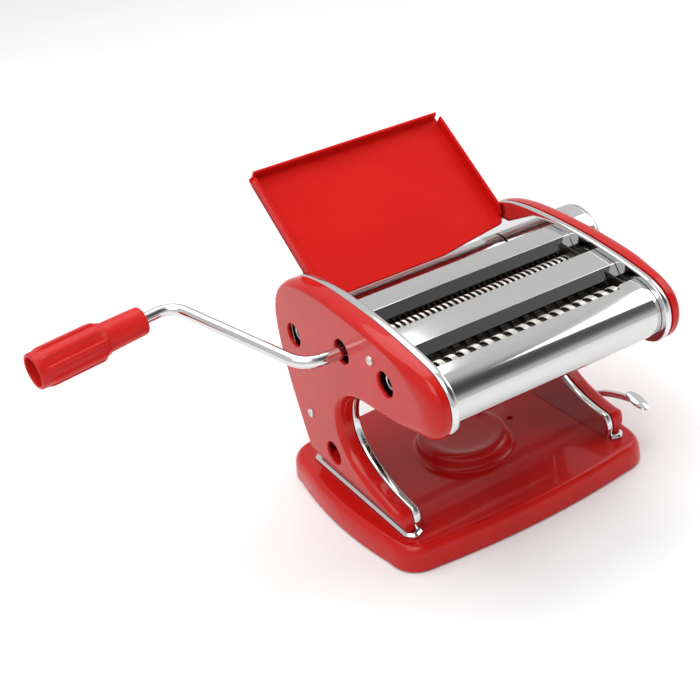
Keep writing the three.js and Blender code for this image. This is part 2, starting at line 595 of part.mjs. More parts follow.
function buildTopCovers() {
  const rear = topLine(REAR_COVER[0], REAR_COVER[1], 3);
  const ridge = rear[rear.length - 1];
  const heel = rear[0];
  const lipOf = ([y, z]) => [y - FLANGE_LEAN, z - FLANGE_DROP];
  bentSheet('rear_cover', [[heel[0] + 1, heel[1] - HEEL_DROP], ...rear, lipOf(ridge)]);
  const middle = topLine(MIDDLE_COVER[0], MIDDLE_COVER[1], 3);
  bentSheet('middle_cover', [...middle, lipOf(middle[middle.length - 1])]);
  const start = [FRONT_COVER, coverZ(FRONT_COVER) - 1];
  const ahead = ([y, z]) => y < FRONT_COVER - 4 && z < start[1] - 1 && z > HEAD_UNDER;
  const nose = COVER_LINE.filter(ahead).reverse();
  const rolled = nose.filter((p, i) => i % 3 === 0 && (p[0] < HEAD_FRONT + 18 || p[1] > HEAD_UNDER + 15));
  bentSheet('front_cover', [start, ...rolled]);
}

// ---------------------------------------------------------------- rollers, bushes and gears
function rollerProfile(radius, socket) {
  const end = HALF - 0.7;
  const profile = [
    [JOURNAL_END, 0], [JOURNAL_END, JOURNAL_RADIUS], [end, JOURNAL_RADIUS], [end, radius],
    [-end, radius], [-end, JOURNAL_RADIUS],
  ];
  if (!socket) return [...profile, [-PLATE_OUT - 2, JOURNAL_RADIUS], [-PLATE_OUT - 2, 0]];
  const socketEnd = SOCKET_DEPTH - JOURNAL_END;
  const neck = SOCKET_RADIUS + 1.8;
  const neckStart = PLATE_OUT + BUSH_FLANGE + 1;
  return [
    ...profile, [-neckStart, JOURNAL_RADIUS], [-neckStart, neck], [-JOURNAL_END, neck],
    [-JOURNAL_END, SOCKET_RADIUS], [socketEnd, SOCKET_RADIUS], [socketEnd, 0],
  ];
}

function gearGeometry(tip, root, phase) {
  const step = (2 * Math.PI) / GEAR_TEETH;
  const points = [];
  for (let tooth = 0; tooth < GEAR_TEETH; tooth += 1) {
    const middle = phase + tooth * step;
    for (const [radius, offset] of [[root, -0.24], [tip, -0.1], [tip, 0.1], [root, 0.24]]) {
      const angle = middle + offset * step;
      points.push(new THREE.Vector2(radius * Math.cos(angle), radius * Math.sin(angle)));
    }
  }
  const shape = new THREE.Shape(points);
  const bore = new THREE.Path();
  bore.absarc(0, 0, JOURNAL_RADIUS + GAP, 0, 2 * Math.PI, true);
  shape.holes.push(bore);
  const along = { depth: GEAR_THICK, curveSegments: 6, bevelEnabled: false };
  const geometry = new THREE.ExtrudeGeometry(shape, along);
  return geometry.applyMatrix4(TO_X).translate(GEAR_START, 0, 0);
}

// Two rollers that turn against each other, with their gears in mesh at the +X end.
function buildPair(drive, driven, radius, tip, root, names, paint) {
  const phase = Math.atan2(driven[1] - drive[1], driven[0] - drive[0]);
  const step = (2 * Math.PI) / GEAR_TEETH;
  const drives = axle(drive);
  add(names[0], turnedX(rollerProfile(radius, true), ROUND), paint, drives);
  add(`${names[0].replace(/_roller|_cutter/, '')}_gear`, gearGeometry(tip, root, phase), STEEL, drives);
  const follows = axle(driven);
  add(names[1], turnedX(rollerProfile(radius, false), ROUND), paint, follows);
  const mesh = gearGeometry(tip, root, phase + Math.PI + step / 2);
  add(`${names[1].replace(/_roller|_cutter/, '')}_gear`, mesh, STEEL, follows);
}

function buildRollers() {
  const smoothTip = SMOOTH_PITCH / 2 + 0.6;
  const smoothRoot = SMOOTH_PITCH - SMOOTH_CLOSE - smoothTip - TOOTH_CLEAR;
  const smooth = [SMOOTH_DRIVE, SMOOTH_ADJUST, SMOOTH_RADIUS, smoothTip, smoothRoot];
  buildPair(...smooth, ['smooth_drive_roller', 'smooth_adjust_roller'], CHROME);
  const cutterTip = (CUTTER_PITCH + TOOTH_OVERLAP) / 2;
  const cutterRoot = CUTTER_PITCH - cutterTip - TOOTH_CLEAR;
  const cutters = [['narrow', NARROW_DRIVE, NARROW_DRIVEN], ['wide', WIDE_DRIVE, WIDE_DRIVEN]];
  for (const [size, drive, driven] of cutters) {
    const names = [`${size}_drive_cutter`, `${size}_driven_cutter`];
    buildPair(drive, driven, CUTTER_RADIUS, cutterTip, cutterRoot, names, STEEL);
  }
}

// Flanged bush in a frame plate; the adjustable roller's two bearings slide in larger holes.
function buildBushes() {
  const bore = JOURNAL_RADIUS + RUN;
  const collar = BUSH_RADIUS + 1.4;
  for (const [axleName, centre] of Object.entries(AXLES)) {
    for (const [label, side] of [['left', -1], ['right', 1]]) {
      const profile = [
        [HALF + GAP, bore], [HALF + GAP, BUSH_RADIUS], [PLATE_OUT + GAP, BUSH_RADIUS],
        [PLATE_OUT + GAP, collar], [PLATE_OUT + BUSH_FLANGE, collar], [PLATE_OUT + BUSH_FLANGE, bore],
        [HALF + GAP, bore],
      ];
      const sliding = axleName === 'smooth_adjust';
      const plain = ringProfile(HALF + GAP, PLATE_OUT - GAP, bore, BUSH_RADIUS);
      const ring = solid(turnedX(sliding ? plain : profile, SMALL_ROUND));
      const name = sliding ? `${label}_slide_bearing` : `${label}_${axleName}_bush`;
      add(name, geometryOf(mirrored(side, ring)), BRONZE, axle(centre));
    }
  }
}

// ---------------------------------------------------------------- scrapers, combs and tie rods
function buildStrippers() {
  const half = 5; // half the width of a scraper
  const closed = along(SMOOTH_ADJUST, SMOOTH_CLOSE, 31.9, -8.6);
  for (const [name, [y, z]] of [['drive_scraper', SMOOTH_DRIVE], ['adjust_scraper', closed]]) {
    const top = z - SMOOTH_RADIUS - 0.8;
    const roof = [[y + half, top - 1.5], [y, top], [y - half, top - 1.5]];
    add(name, extrudeX([[y - half, top - 3], [y + half, top - 3], ...roof], -SPAN, SPAN), STEEL);
  }
  const pairs = [['narrow_comb', NARROW_DRIVE, NARROW_DRIVEN], ['wide_comb', WIDE_DRIVE, WIDE_DRIVEN]];
  for (const [name, a, b] of pairs) {
    const y = (a[0] + b[0]) / 2;
    const z = (a[1] + b[1]) / 2 - CUTTER_RADIUS * 0.72;
    add(name, extrudeX([[y - 3, z - 8], [y + 3, z - 8], [y + 0.6, z], [y - 0.6, z]], -SPAN, SPAN), NYLON);
  }
  for (const [name, [y, z]] of TIE_RODS) {
    add(name, rodX(TIE_ROD_RADIUS, -SPAN, SPAN, [0, 0]), STEEL).position.set(0, y, z);
  }
}

// ---------------------------------------------------------------- dough tray
function buildTray() {
  const half = TRAY_WIDTH / 2;
  const under = -TRAY_THICK;
  const pieces = [box([-half, half], [0, TRAY_LENGTH], [under, 0])];
  const ledge = [under - TRAY_LEDGE, TRAY_WALL];
  pieces.push(box([-half, half], [TRAY_LENGTH - TRAY_THICK, TRAY_LENGTH], ledge));
  const catchStart = TRAY_REST + TIE_ROD_RADIUS + GAP;
  for (const side of [-1, 1]) {
    const wall = [side * half, side * (half - TRAY_THICK)].sort((a, b) => a - b);
    pieces.push(box(wall, [TRAY_WALL_START, TRAY_LENGTH], [under, TRAY_WALL]));
    const hook = [side * (half - 6), side * (half - 20)].sort((a, b) => a - b);
    pieces.push(box(hook, [catchStart, catchStart + 3], [under - 5, under + 0.5]));
  }
  const tray = pieces.map(solid).reduce((sum, piece) => sum.add(piece));
  const group = new THREE.Group();
  group.position.set(0, ...TRAY_FOOT);
  group.rotation.x = TRAY_TILT;
  machine.add(group);
  add('dough_tray', geometryOf(tray), RED_SATIN, group);
}

// ---------------------------------------------------------------- thickness knob
const PIN_RADIUS = 1.6;
const PIN_SPOT = [SMOOTH_ADJUST[0], SMOOTH_ADJUST[1] - KNOB_RADIUS + 8.5];

const KNOB_STAND_OFF = 2.2; // knob to cover
const SPRING_WIRE = 0.55;
const SPRING_TURNS = 3.5;
const SPRING_RADIUS = KNOB_SHAFT_RADIUS + 1.5;
const HUB_BORE = SPRING_RADIUS + SPRING_WIRE + 1;
const HUB_WALL = 2;

// The spring sits round the shaft between the knob's inner lip and the shaft's nut, so pulling the
// knob out presses it together.
function buildKnob() {
  const group = axle(SMOOTH_ADJUST);
  const start = COVER_OUT + KNOB_STAND_OFF;
  const end = start + KNOB_LENGTH;
  const pocket = end - KNOB_WALL - 2;
  const lip = [start + 7, start + 9.5];
  const nut = [pocket - 4.5, pocket - 3];
  const flange = [JOURNAL_END + 0.8, JOURNAL_END + 1.3];
  const shaft = KNOB_SHAFT_RADIUS;
  add('dial_shaft', turnedX([
    [flange[0], 0], [flange[0], shaft + 3], [flange[1], shaft + 3], [flange[1], shaft],
    [nut[0], shaft], [nut[0], HUB_BORE - RUN], [nut[1], HUB_BORE - RUN], [nut[1], 0],
  ]), STEEL, group);
  const rim = KNOB_RADIUS - 3;
  const hub = HUB_BORE + HUB_WALL;
  add('adjust_knob', turnedX([
    [end, 0], [end, KNOB_RADIUS - 4], [end - 1, KNOB_RADIUS - 1.2], [end - 3, KNOB_RADIUS],
    [start, KNOB_RADIUS], [start, rim], [pocket, rim], [pocket, hub], [lip[0], hub],
    [lip[0], shaft + RUN], [lip[1], shaft + RUN], [lip[1], HUB_BORE], [pocket, HUB_BORE], [pocket, 0],
  ], ROUND), CHROME, group);
  const coilStart = lip[1] + SPRING_WIRE + GAP;
  const coilEnd = nut[0] - SPRING_WIRE - GAP;
  class Helix extends THREE.Curve {
    getPoint(t, target = new THREE.Vector3()) {
      const turn = 2 * Math.PI * SPRING_TURNS * t;
      const place = THREE.MathUtils.lerp(coilStart, coilEnd, t);
      return target.set(place, SPRING_RADIUS * Math.cos(turn), SPRING_RADIUS * Math.sin(turn));
    }
  }
  const wire = new THREE.Shape();
  wire.absarc(0, 0, SPRING_WIRE, 0, 2 * Math.PI);
  const sweep = { steps: 32, extrudePath: new Helix(), curveSegments: 3, bevelEnabled: false };
  add('knob_spring', new THREE.ExtrudeGeometry(wire, sweep), STEEL, group);
  const pin = rodX(PIN_RADIUS, COVER_OUT - COVER_WALL - 1, start + 4, [0, 0], 10);
  add('index_pin', pin, STEEL).position.set(0, ...PIN_SPOT);
}

// ---------------------------------------------------------------- crank
function buildCrank() {
  const group = axle(NARROW_DRIVE);
  const tip = -JOURNAL_END + SOCKET_DEPTH - SOCKET_END_GAP;
  const out = new THREE.Vector3(0, Math.cos(CRANK_LIFT), Math.sin(CRANK_LIFT));
  const corner1 = new THREE.Vector3(-COVER_OUT - CRANK_STAND_OFF, 0, 0);
  const corner2 = out.clone().multiplyScalar(CRANK_RADIUS).setX(corner1.x - CRANK_LEAN);
  const gripWay = out.clone().multiplyScalar(-Math.sin(GRIP_TILT)).setX(-Math.cos(GRIP_TILT));
  const gripEnd = corner2.clone().addScaledVector(gripWay, GRIP_START + GRIP_LENGTH);
  const armWay = corner2.clone().sub(corner1).normalize();
  const path = new THREE.CurvePath();
  const bend = (corner, from, to) => [
    corner.clone().addScaledVector(from, -CRANK_BEND), corner.clone().addScaledVector(to, CRANK_BEND),
  ];
  const [a0, a1] = bend(corner1, new THREE.Vector3(-1, 0, 0), armWay);
  const [b0, b1] = bend(corner2, armWay, gripWay);
  const rodEnd = gripEnd.clone().addScaledVector(gripWay, -GRIP_POCKET + 4);
  path.add(new THREE.LineCurve3(new THREE.Vector3(tip, 0, 0), a0));
  path.add(new THREE.QuadraticBezierCurve3(a0, corner1, a1));
  path.add(new THREE.LineCurve3(a1, b0));
  path.add(new THREE.QuadraticBezierCurve3(b0, corner2, b1));
  path.add(new THREE.LineCurve3(b1, rodEnd));
  const section = new THREE.Shape();
  section.absarc(0, 0, CRANK_ROD_RADIUS, 0, 2 * Math.PI);
  const sweep = { steps: 38, extrudePath: path, curveSegments: 4, bevelEnabled: false };
  const rod = new THREE.ExtrudeGeometry(section, sweep);
  add('crank_rod', rod, CHROME, group);
  // The grip turns on the straight end of the rod; it is built along +X and then laid on that line.
  const grip = new THREE.Group();
  grip.position.copy(corner2).addScaledVector(gripWay, GRIP_START);
  grip.quaternion.setFromUnitVectors(new THREE.Vector3(1, 0, 0), gripWay);
  group.add(grip);
  const bore = CRANK_ROD_RADIUS + RUN + 0.3;
  const seat = GRIP_LENGTH - GRIP_POCKET;
  const profile = [
    [0, bore], [0, GRIP_RADIUS_IN - 1.5], [1.5, GRIP_RADIUS_IN],
    [GRIP_LENGTH * 0.35, GRIP_RADIUS_IN + 0.6], [GRIP_LENGTH * 0.45, GRIP_RADIUS_OUT],
    [GRIP_LENGTH - 1.5, GRIP_RADIUS_OUT], [GRIP_LENGTH, GRIP_RADIUS_OUT - 1.2],
    [GRIP_LENGTH, GRIP_RADIUS_OUT - 3], [seat, GRIP_RADIUS_OUT - 3], [seat, bore], [0, bore],
  ];
  add('crank_grip', turnedX(profile, ROUND), RED_SATIN, grip);
  const washer = ringProfile(seat + RUN, seat + RUN + 1.6, CRANK_ROD_RADIUS + GAP, CRANK_ROD_RADIUS + 3);
  add('grip_washer', turnedX(washer, SMALL_ROUND), STEEL, grip);
}

// ---------------------------------------------------------------- the whole machine
buildBase();
buildSuction();
for (const [label, side] of [['left', -1], ['right', 1]]) {
  buildFrame(side, label);
  buildCover(side, label);
  buildTrim(side, label);
  COVER_SCREWS[label].forEach((centre, i) => {
    buildScrew(`${label}_cover_screw_${i + 1}`, side, centre);
  });
}
buildTopCovers();
buildRollers();
buildBushes();
buildStrippers();
buildTray();
buildKnob();
buildCrank();

export default machine;
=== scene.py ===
# Looks of the pasta roller machine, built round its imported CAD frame.
# Sizes below are in millimetres and become metres when a mesh is made.
import math

import bmesh
import bpy
from mathutils import Matrix, Vector


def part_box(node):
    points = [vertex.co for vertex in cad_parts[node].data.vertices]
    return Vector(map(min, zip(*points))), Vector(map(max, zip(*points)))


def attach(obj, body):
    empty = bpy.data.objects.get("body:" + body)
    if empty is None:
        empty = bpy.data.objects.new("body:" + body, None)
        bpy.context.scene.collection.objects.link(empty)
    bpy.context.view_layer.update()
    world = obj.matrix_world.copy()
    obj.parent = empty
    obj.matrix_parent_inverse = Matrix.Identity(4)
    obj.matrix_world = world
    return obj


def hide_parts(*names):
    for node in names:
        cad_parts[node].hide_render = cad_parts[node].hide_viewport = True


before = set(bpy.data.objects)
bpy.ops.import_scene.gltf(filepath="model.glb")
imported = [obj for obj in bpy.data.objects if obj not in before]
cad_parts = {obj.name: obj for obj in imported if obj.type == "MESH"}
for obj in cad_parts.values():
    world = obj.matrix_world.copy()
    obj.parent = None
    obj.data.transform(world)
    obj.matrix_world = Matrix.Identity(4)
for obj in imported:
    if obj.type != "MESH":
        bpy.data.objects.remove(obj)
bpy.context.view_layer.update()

MM = 0.001
TAU = 2 * math.pi
ROLLER_END = 87.6
JOURNAL_RADIUS = 5
SMOOTH_RADIUS = 15
CUTTER_TIP = 11.8
CUTTER_CORE = 9.7
SHAFT_HEIGHT = 10


# ---------------------------------------------------------------- places taken from the frame
def span(node):
    low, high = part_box(node)
    return low / MM, high / MM


def middle(node):
    low, high = span(node)
    return (low + high) / 2


COVER_LOW, COVER_HIGH = span("right_cover")
HALF = span("right_smooth_drive_bush")[0].x - 0.3  # inner face of a side frame
FRAME_OUT = span("right_frame")[1].x
PLATE_OUT = HALF + 2
COVER_IN = COVER_LOW.x
COVER_OUT = COVER_HIGH.x
FLOOR = COVER_LOW.z
HEAD_TOP = COVER_HIGH.z
HEAD_BACK = COVER_HIGH.y
HEAD_FRONT = COVER_LOW.y
HEAD_UNDER = HEAD_TOP - 55
FOOT_FRONT = -63
FOOT_BACK = 45
FOOT_RISE = 17
LEG_FRONT = 1.8

AXLES = {name: middle(name + suffix).yz for name, suffix in [
    ("smooth_drive", "_roller"), ("smooth_adjust", "_roller"), ("narrow_drive", "_cutter"),
    ("narrow_driven", "_cutter"), ("wide_drive", "_cutter"), ("wide_driven", "_cutter")]}


# ---------------------------------------------------------------- mesh building
class Part:
    """Vertices and faces of one piece, gathered from several simple shapes."""

    def __init__(self):
        self.verts, self.faces = [], []

    def add(self, verts, faces):
        start = len(self.verts)
        self.verts += [Vector(v) for v in verts]
        self.faces += [tuple(i + start for i in f) for f in faces]

    def rings(self, rings, cap_first=True, cap_last=True):
        """Closed rings of equal count, joined in order."""
        n = len(rings[0])
        faces = []
        for r in range(len(rings) - 1):
            for i in range(n):
                j = (i + 1) % n
                faces.append((r * n + i, r * n + j, (r + 1) * n + j, (r + 1) * n + i))
        if cap_first:
            faces.append(tuple(reversed(range(n))))
        if cap_last:
            faces.append(tuple((len(rings) - 1) * n + i for i in range(n)))
        self.add([p for ring in rings for p in ring], faces)

    def lathe(self, origin, axis, profile, sides=64, shape=None):
        """A turned shape from (place on the axis, radius) points; shape(place, angle) adds to the radius."""
        axis = Vector(axis).normalized()
        side = axis.orthogonal().normalized()
        up = axis.cross(side)
        rings = []
        for place, radius in profile:
            ring = []
            for i in range(sides):
                angle = TAU * i / sides
                r = radius + (shape(place, angle) if shape else 0)
                outwards = side * math.cos(angle) + up * math.sin(angle)
                ring.append(Vector(origin) + axis * place + outwards * r)
            rings.append(ring)
        self.rings(rings, False, False)

    def tube(self, path, radius, sides=24):
        """A round bar along a path; radius is a number or a list of (across, upwards) half sizes."""
        points = [Vector(p) for p in path]
        tangents = []
        for i, p in enumerate(points):
            a, b = points[max(i - 1, 0)], points[min(i + 1, len(points) - 1)]
            tangents.append((b - a).normalized())
        side = tangents[0].orthogonal().normalized()
        rings = []
        for i, (p, t) in enumerate(zip(points, tangents)):
            side = (side - t * side.dot(t)).normalized()
            up = t.cross(side)
            a, b = radius[i] if isinstance(radius, list) else (radius, radius)
            rings.append([p + side * math.cos(TAU * k / sides) * a + up * math.sin(TAU * k / sides) * b
                          for k in range(sides)])
        self.rings(rings)

    def prism(self, outline, x0, x1):
        """An outline of (y, z) points between two places on X."""
        self.rings([[(x, y, z) for y, z in outline] for x in (x0, x1)])

    def mirror(self):
        self.verts = [Vector((-v.x, v.y, v.z)) for v in self.verts]
        self.faces = [tuple(reversed(f)) for f in self.faces]
        return self


def filleted(points, radius, closed=False, steps=5):
    """A line of (a, b) points with its corners rounded; radius is one number or one for each point."""
    pts = [Vector(p) for p in points]
    n = len(pts)
    radii = radius if isinstance(radius, (list, tuple)) else [radius] * n
    out = []
    for i, p in enumerate(pts):
        if (not closed and i in (0, n - 1)) or radii[i] <= 0:
            out.append(p)
            continue
        a, b = pts[i - 1] - p, pts[(i + 1) % n] - p
        la, lb = a.length, b.length
        if la < 1e-6 or lb < 1e-6:
            out.append(p)
            continue
        a, b = a / la, b / lb
        angle = a.angle(b)
        if angle > math.pi - 0.02:
            out.append(p)
            continue
        cut = min(radii[i] / math.tan(angle / 2), la * 0.48, lb * 0.48)
        start, end = p + a * cut, p + b * cut
        for k in range(steps + 1):
            t = k / steps
            out.append((start * (1 - t) + p * t) * (1 - t) + (p * (1 - t) + end * t) * t)
    return [tuple(p) for p in out]


def bezier(points, steps):
    """Points of a line, quadratic or cubic curve, without the first."""
    pts = [Vector(p) for p in points]
    out = []
    for i in range(1, steps + 1):
        t, row = i / steps, pts
        while len(row) > 1:
            row = [row[k] * (1 - t) + row[k + 1] * t for k in range(len(row) - 1)]
        out.append(row[0])
    return out


WELD = 1e-3


def finish_mesh(name, part, sharp=32, cuts=()):
    mesh = bpy.data.meshes.new(name)
    mesh.from_pydata([v * MM for v in part.verts], [], part.faces)
    bm = bmesh.new()
    bm.from_mesh(mesh)
    bmesh.ops.remove_doubles(bm, verts=bm.verts, dist=WELD * MM)
    bmesh.ops.dissolve_degenerate(bm, edges=bm.edges, dist=1e-7)
    bmesh.ops.recalc_face_normals(bm, faces=bm.faces)
    bm.to_mesh(mesh)
    bm.free()
    obj = bpy.data.objects.new(name, mesh)
    bpy.context.scene.collection.objects.link(obj)
    for i, cut in enumerate(cuts):
        tool = finish_mesh(f"{name}_cut{i}", cut)
        mod = obj.modifiers.new("cut", "BOOLEAN")
        mod.operation, mod.solver, mod.object = "DIFFERENCE", "EXACT", tool
        done = bpy.data.meshes.new_from_object(obj.evaluated_get(bpy.context.evaluated_depsgraph_get()))
        obj.modifiers.clear()
        obj.data = done
        bpy.data.objects.remove(tool)
    obj.data.polygons.foreach_set("use_smooth", [True] * len(obj.data.polygons))
    obj.data.set_sharp_from_angle(angle=math.radians(sharp))
    obj.data.name = name
    return obj


def piece(name, part, material, body, nodes=(), sharp=32, cuts=()):
    """Makes a shown piece, on its body, in the finish of a material slot."""
    obj = finish_mesh(name, part, sharp, cuts)
    obj.data.materials.clear()
    obj.data.materials.append(material)
    mod = obj.modifiers.new("normals", "WEIGHTED_NORMAL")
    mod.keep_sharp = True
    mod.weight = 80
    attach(obj, body)
    if nodes:
        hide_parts(*nodes)
    return obj


# ---------------------------------------------------------------- materials
def surface(name, colours, roughness, metallic=0.0, coat=0.0, coat_rough=0.03, grain=600.0, bump=0.02,
            stretch=(1, 1, 1), patches=18.0, specular=0.5):
    """A procedural finish: two close colours and a roughness mixed by patches, and a bump from fine grain."""
    mat = bpy.data.materials.new(name)
    mat.use_nodes = True
    nodes, links = mat.node_tree.nodes, mat.node_tree.links
    shader = nodes["Principled BSDF"]
    shader.inputs["Metallic"].default_value = metallic
    shader.inputs["Specular IOR Level"].default_value = specular
    shader.inputs["Coat Weight"].default_value = coat
    shader.inputs["Coat Roughness"].default_value = coat_rough
    place = nodes.new("ShaderNodeTexCoord")
    lay = nodes.new("ShaderNodeMapping")
    lay.inputs["Scale"].default_value = stretch
    links.new(place.outputs["Object"], lay.inputs["Vector"])

    def noise(scale, detail, rough=0.5):
        node = nodes.new("ShaderNodeTexNoise")
        node.inputs["Scale"].default_value = scale
        node.inputs["Detail"].default_value = detail
        node.inputs["Roughness"].default_value = rough
        links.new(lay.outputs["Vector"], node.inputs["Vector"])
        return node.outputs["Fac"]

    patch = noise(patches, 4.0)
    fine = noise(grain, 3.0, 0.6)
    ramp = nodes.new("ShaderNodeValToRGB")
    ramp.color_ramp.elements[0].position, ramp.color_ramp.elements[1].position = 0.35, 0.65
    ramp.color_ramp.elements[0].color = (*colours[0], 1)
    ramp.color_ramp.elements[1].color = (*colours[1], 1)
    links.new(patch, ramp.inputs["Fac"])
    links.new(ramp.outputs["Color"], shader.inputs["Base Color"])
    spread = nodes.new("ShaderNodeMapRange")
    spread.inputs["To Min"].default_value, spread.inputs["To Max"].default_value = roughness
    links.new(patch, spread.inputs["Value"])
    links.new(spread.outputs["Result"], shader.inputs["Roughness"])
    relief = nodes.new("ShaderNodeBump")
    relief.inputs["Strength"].default_value = bump
    relief.inputs["Distance"].default_value = 0.0004
    links.new(fine, relief.inputs["Height"])
    links.new(relief.outputs["Normal"], shader.inputs["Normal"])
    return mat


RED_GLOSS = surface("red_gloss_paint", [(0.46, 0.006, 0.005), (0.51, 0.008, 0.006)], (0.20, 0.28), coat=0.35,
                    coat_rough=0.02, grain=900, bump=0.03, specular=0.12)
RED_SATIN = surface("red_satin_plastic", [(0.54, 0.007, 0.005), (0.59, 0.010, 0.007)], (0.36, 0.46),
        grain=2600,
                    bump=0.09, specular=0.08)
GRIP_RED = surface("red_grip_plastic", [(0.50, 0.008, 0.007), (0.58, 0.012, 0.010)], (0.30, 0.42), grain=2200,
                   bump=0.08, specular=0.25)
CHROME = surface("polished_chrome", [(0.66, 0.66, 0.665), (0.72, 0.72, 0.72)], (0.05, 0.11), 1.0, grain=500,
                 bump=0.012)
SHEET_CHROME = surface("polished_sheet", [(0.64, 0.64, 0.64), (0.71, 0.71, 0.705)], (0.06, 0.13), 1.0,
        grain=420,
                       bump=0.02, stretch=(0.12, 1, 1))
ROLLER = surface("roller_steel", [(0.66, 0.66, 0.66), (0.75, 0.75, 0.74)], (0.14, 0.24), 1.0, grain=1500,
        bump=0.06,
                 stretch=(1, 0.2, 0.2))
# Painted shade: a near-black steel for the cutters' cores and disc faces, and for the drive cutters' rims,
# standing in for the shade between the discs and under the covers
CUTTER_PAINTED_SHADE = surface("cutter_painted_shade", [(0.06, 0.055, 0.05), (0.13, 0.12, 0.11)], (0.35, 0.5), 1.0, grain=1500,
        bump=0.1,
               patches=120)
CUTTER = surface("cutter_steel", [(0.60, 0.57, 0.52), (0.80, 0.78, 0.74)], (0.18, 0.32), 1.0, grain=1800,
        bump=0.12,
                 patches=160)
STEEL = surface("zinc_steel", [(0.50, 0.49, 0.47), (0.66, 0.65, 0.63)], (0.24, 0.40), 1.0, grain=1400,
        bump=0.1,
                patches=60)
BRONZE = surface("sintered_bronze", [(0.40, 0.26, 0.11), (0.52, 0.35, 0.16)], (0.32, 0.5), 1.0, grain=3000,
        bump=0.2)
NYLON = surface("dark_nylon", [(0.012, 0.012, 0.013), (0.03, 0.03, 0.032)], (0.4, 0.55), grain=2400,
        bump=0.15)
RUBBER = surface("black_rubber", [(0.010, 0.010, 0.011), (0.02, 0.02, 0.021)], (0.6, 0.8), grain=2600,
        bump=0.25)
DARK_METAL = surface("dark_bracket", [(0.05, 0.045, 0.04), (0.09, 0.085, 0.08)], (0.3, 0.45), 1.0, grain=1500,
                     bump=0.1)


# ---------------------------------------------------------------- side outline
def side_outline(floor=FLOOR, steps=16):
    """Outline of the side frames and covers, as (y, z) points."""
    nose, top, under, back = HEAD_FRONT, HEAD_TOP, HEAD_UNDER, HEAD_BACK
    leg = LEG_FRONT
    crest = (nose + back) / 2 + 27
    waist = floor + (under - floor) * 0.58
    at = (FOOT_FRONT + 2.5, floor)
    out = [Vector(at)]
    for rest, count in [
        ([(FOOT_FRONT - 0.5, floor + FOOT_RISE * 0.7), (FOOT_FRONT + 5, floor + FOOT_RISE)], steps // 2),
        ([(leg - 36, floor + FOOT_RISE + 1), (leg, waist - 24), (leg, waist)], steps),
        ([(leg, waist + 19), (leg - 13.8, under - 7), (leg - 36, under - 4.5)], steps),
        ([(nose + 20, under + 0.7)], steps // 2),
        ([(nose + 6, under + 2), (nose, under + 11.5), (nose, under + 21.5)], steps),
        ([(nose, top - 21.5), (nose + 8, top - 14), (nose + 22, top - 10.7)], steps),
        ([(nose + 56, top - 3), (crest - 31, top), (crest, top)], steps),
        ([(back - 21.6, top), (back, top - 12.5), (back, top - 44.5)], steps),
        ([(back, top - 72.5), (FOOT_BACK + 15, floor + 37), (FOOT_BACK, floor)], steps),
    ]:
        out += bezier([out[-1], *rest], count)
    return [tuple(p) for p in out]


def inwards(points, floor=FLOOR, smooth=3):
    """Unit directions into a closed outline, smoothed along it; those on the floor line stay level."""
    pts = [Vector(p) for p in points]
    n = len(pts)
    area = sum(pts[i].x * pts[(i + 1) % n].y - pts[(i + 1) % n].x * pts[i].y for i in range(n))
    side = 1 if area > 0 else -1
    normals = []
    for i in range(n):
        a, b = (pts[i] - pts[i - 1]).normalized(), (pts[(i + 1) % n] - pts[i]).normalized()
        t = (a + b).normalized()
        normals.append(Vector((-t.y, t.x)) * side)
    for _ in range(smooth):
        normals = [(normals[i - 1] + normals[i] * 2 + normals[(i + 1) % n]).normalized() for i in range(n)]
    for i, p in enumerate(pts):
        if p.y < floor + 0.01:
            normals[i] = Vector((math.copysign(1, -p.x - 9), 0))
    return normals


def smoothstep(x, a, b):
    t = min(1, max(0, (x - a) / (b - a)))
    return t * t * (3 - 2 * t)


OUTLINE = side_outline()
INWARDS = inwards(OUTLINE)


def outline_ring(x, inset):
    """The outline at a place on X, moved inwards by a number or by inset(y, z)."""
    out = []
    for (y, z), d in zip(OUTLINE, INWARDS):
        size = inset(y, z) if callable(inset) else inset
        out.append((x, y + d.x * size, z + d.y * size))
    return out


# ---------------------------------------------------------------- side covers
COVER_WALL = 2.2
COVER_DEPTH = COVER_OUT - COVER_IN
HOLE_RADIUS = 8.2
FOOT_SLOPE = 14
FOOT_FACE = COVER_IN + 4
TRIM_THICK = 1.8


def nose_share(y, z):
    """0 over most of the cover, 1 round the nose, where its edge is rounded most."""
    if z < HEAD_UNDER - 12:
        return 0.0
    return smoothstep(HEAD_FRONT + 44 - y, 0, 38)


def cover_loft(wall):
    part = Part()
    reach = COVER_DEPTH * 0.7
    rings = [outline_ring(COVER_IN if not wall else COVER_IN - 1, wall)]
    steps = 10 if not wall else 4
    for i in range(steps + 1):
        turn = math.pi / 2 * i / steps
        rings.append(outline_ring(
            COVER_OUT - wall - reach * (1 - math.sin(turn)),
            lambda y, z: wall + (4.4 + 11.6 * nose_share(y, z)) * (1 - math.cos(turn))))
    if wall:
        above_foot = FLOOR + FOOT_SLOPE + 3
        kept = [i for i in range(len(OUTLINE)) if all(ring[i][2] > above_foot for ring in rings)]
        rings = [[ring[i] for i in kept] for ring in rings]
    part.rings(rings)
    return part


def lip_cutter(centre, radius, lip=0.9):
    """A round cutter that leaves a rounded edge in the cover's outer face."""
    part = Part()
    profile = [(COVER_IN - 3, 0), (COVER_IN - 3, radius), (COVER_OUT - lip, radius)]
    profile += [(COVER_OUT - lip + lip * math.sin(a), radius + lip - lip * math.cos(a))
                for a in (math.pi / 8, math.pi / 4, 3 * math.pi / 8, math.pi / 2)]
    profile += [(COVER_OUT + 2, radius + lip), (COVER_OUT + 2, 0)]
    part.lathe((0, *centre), (1, 0, 0), profile, 48)
    return part


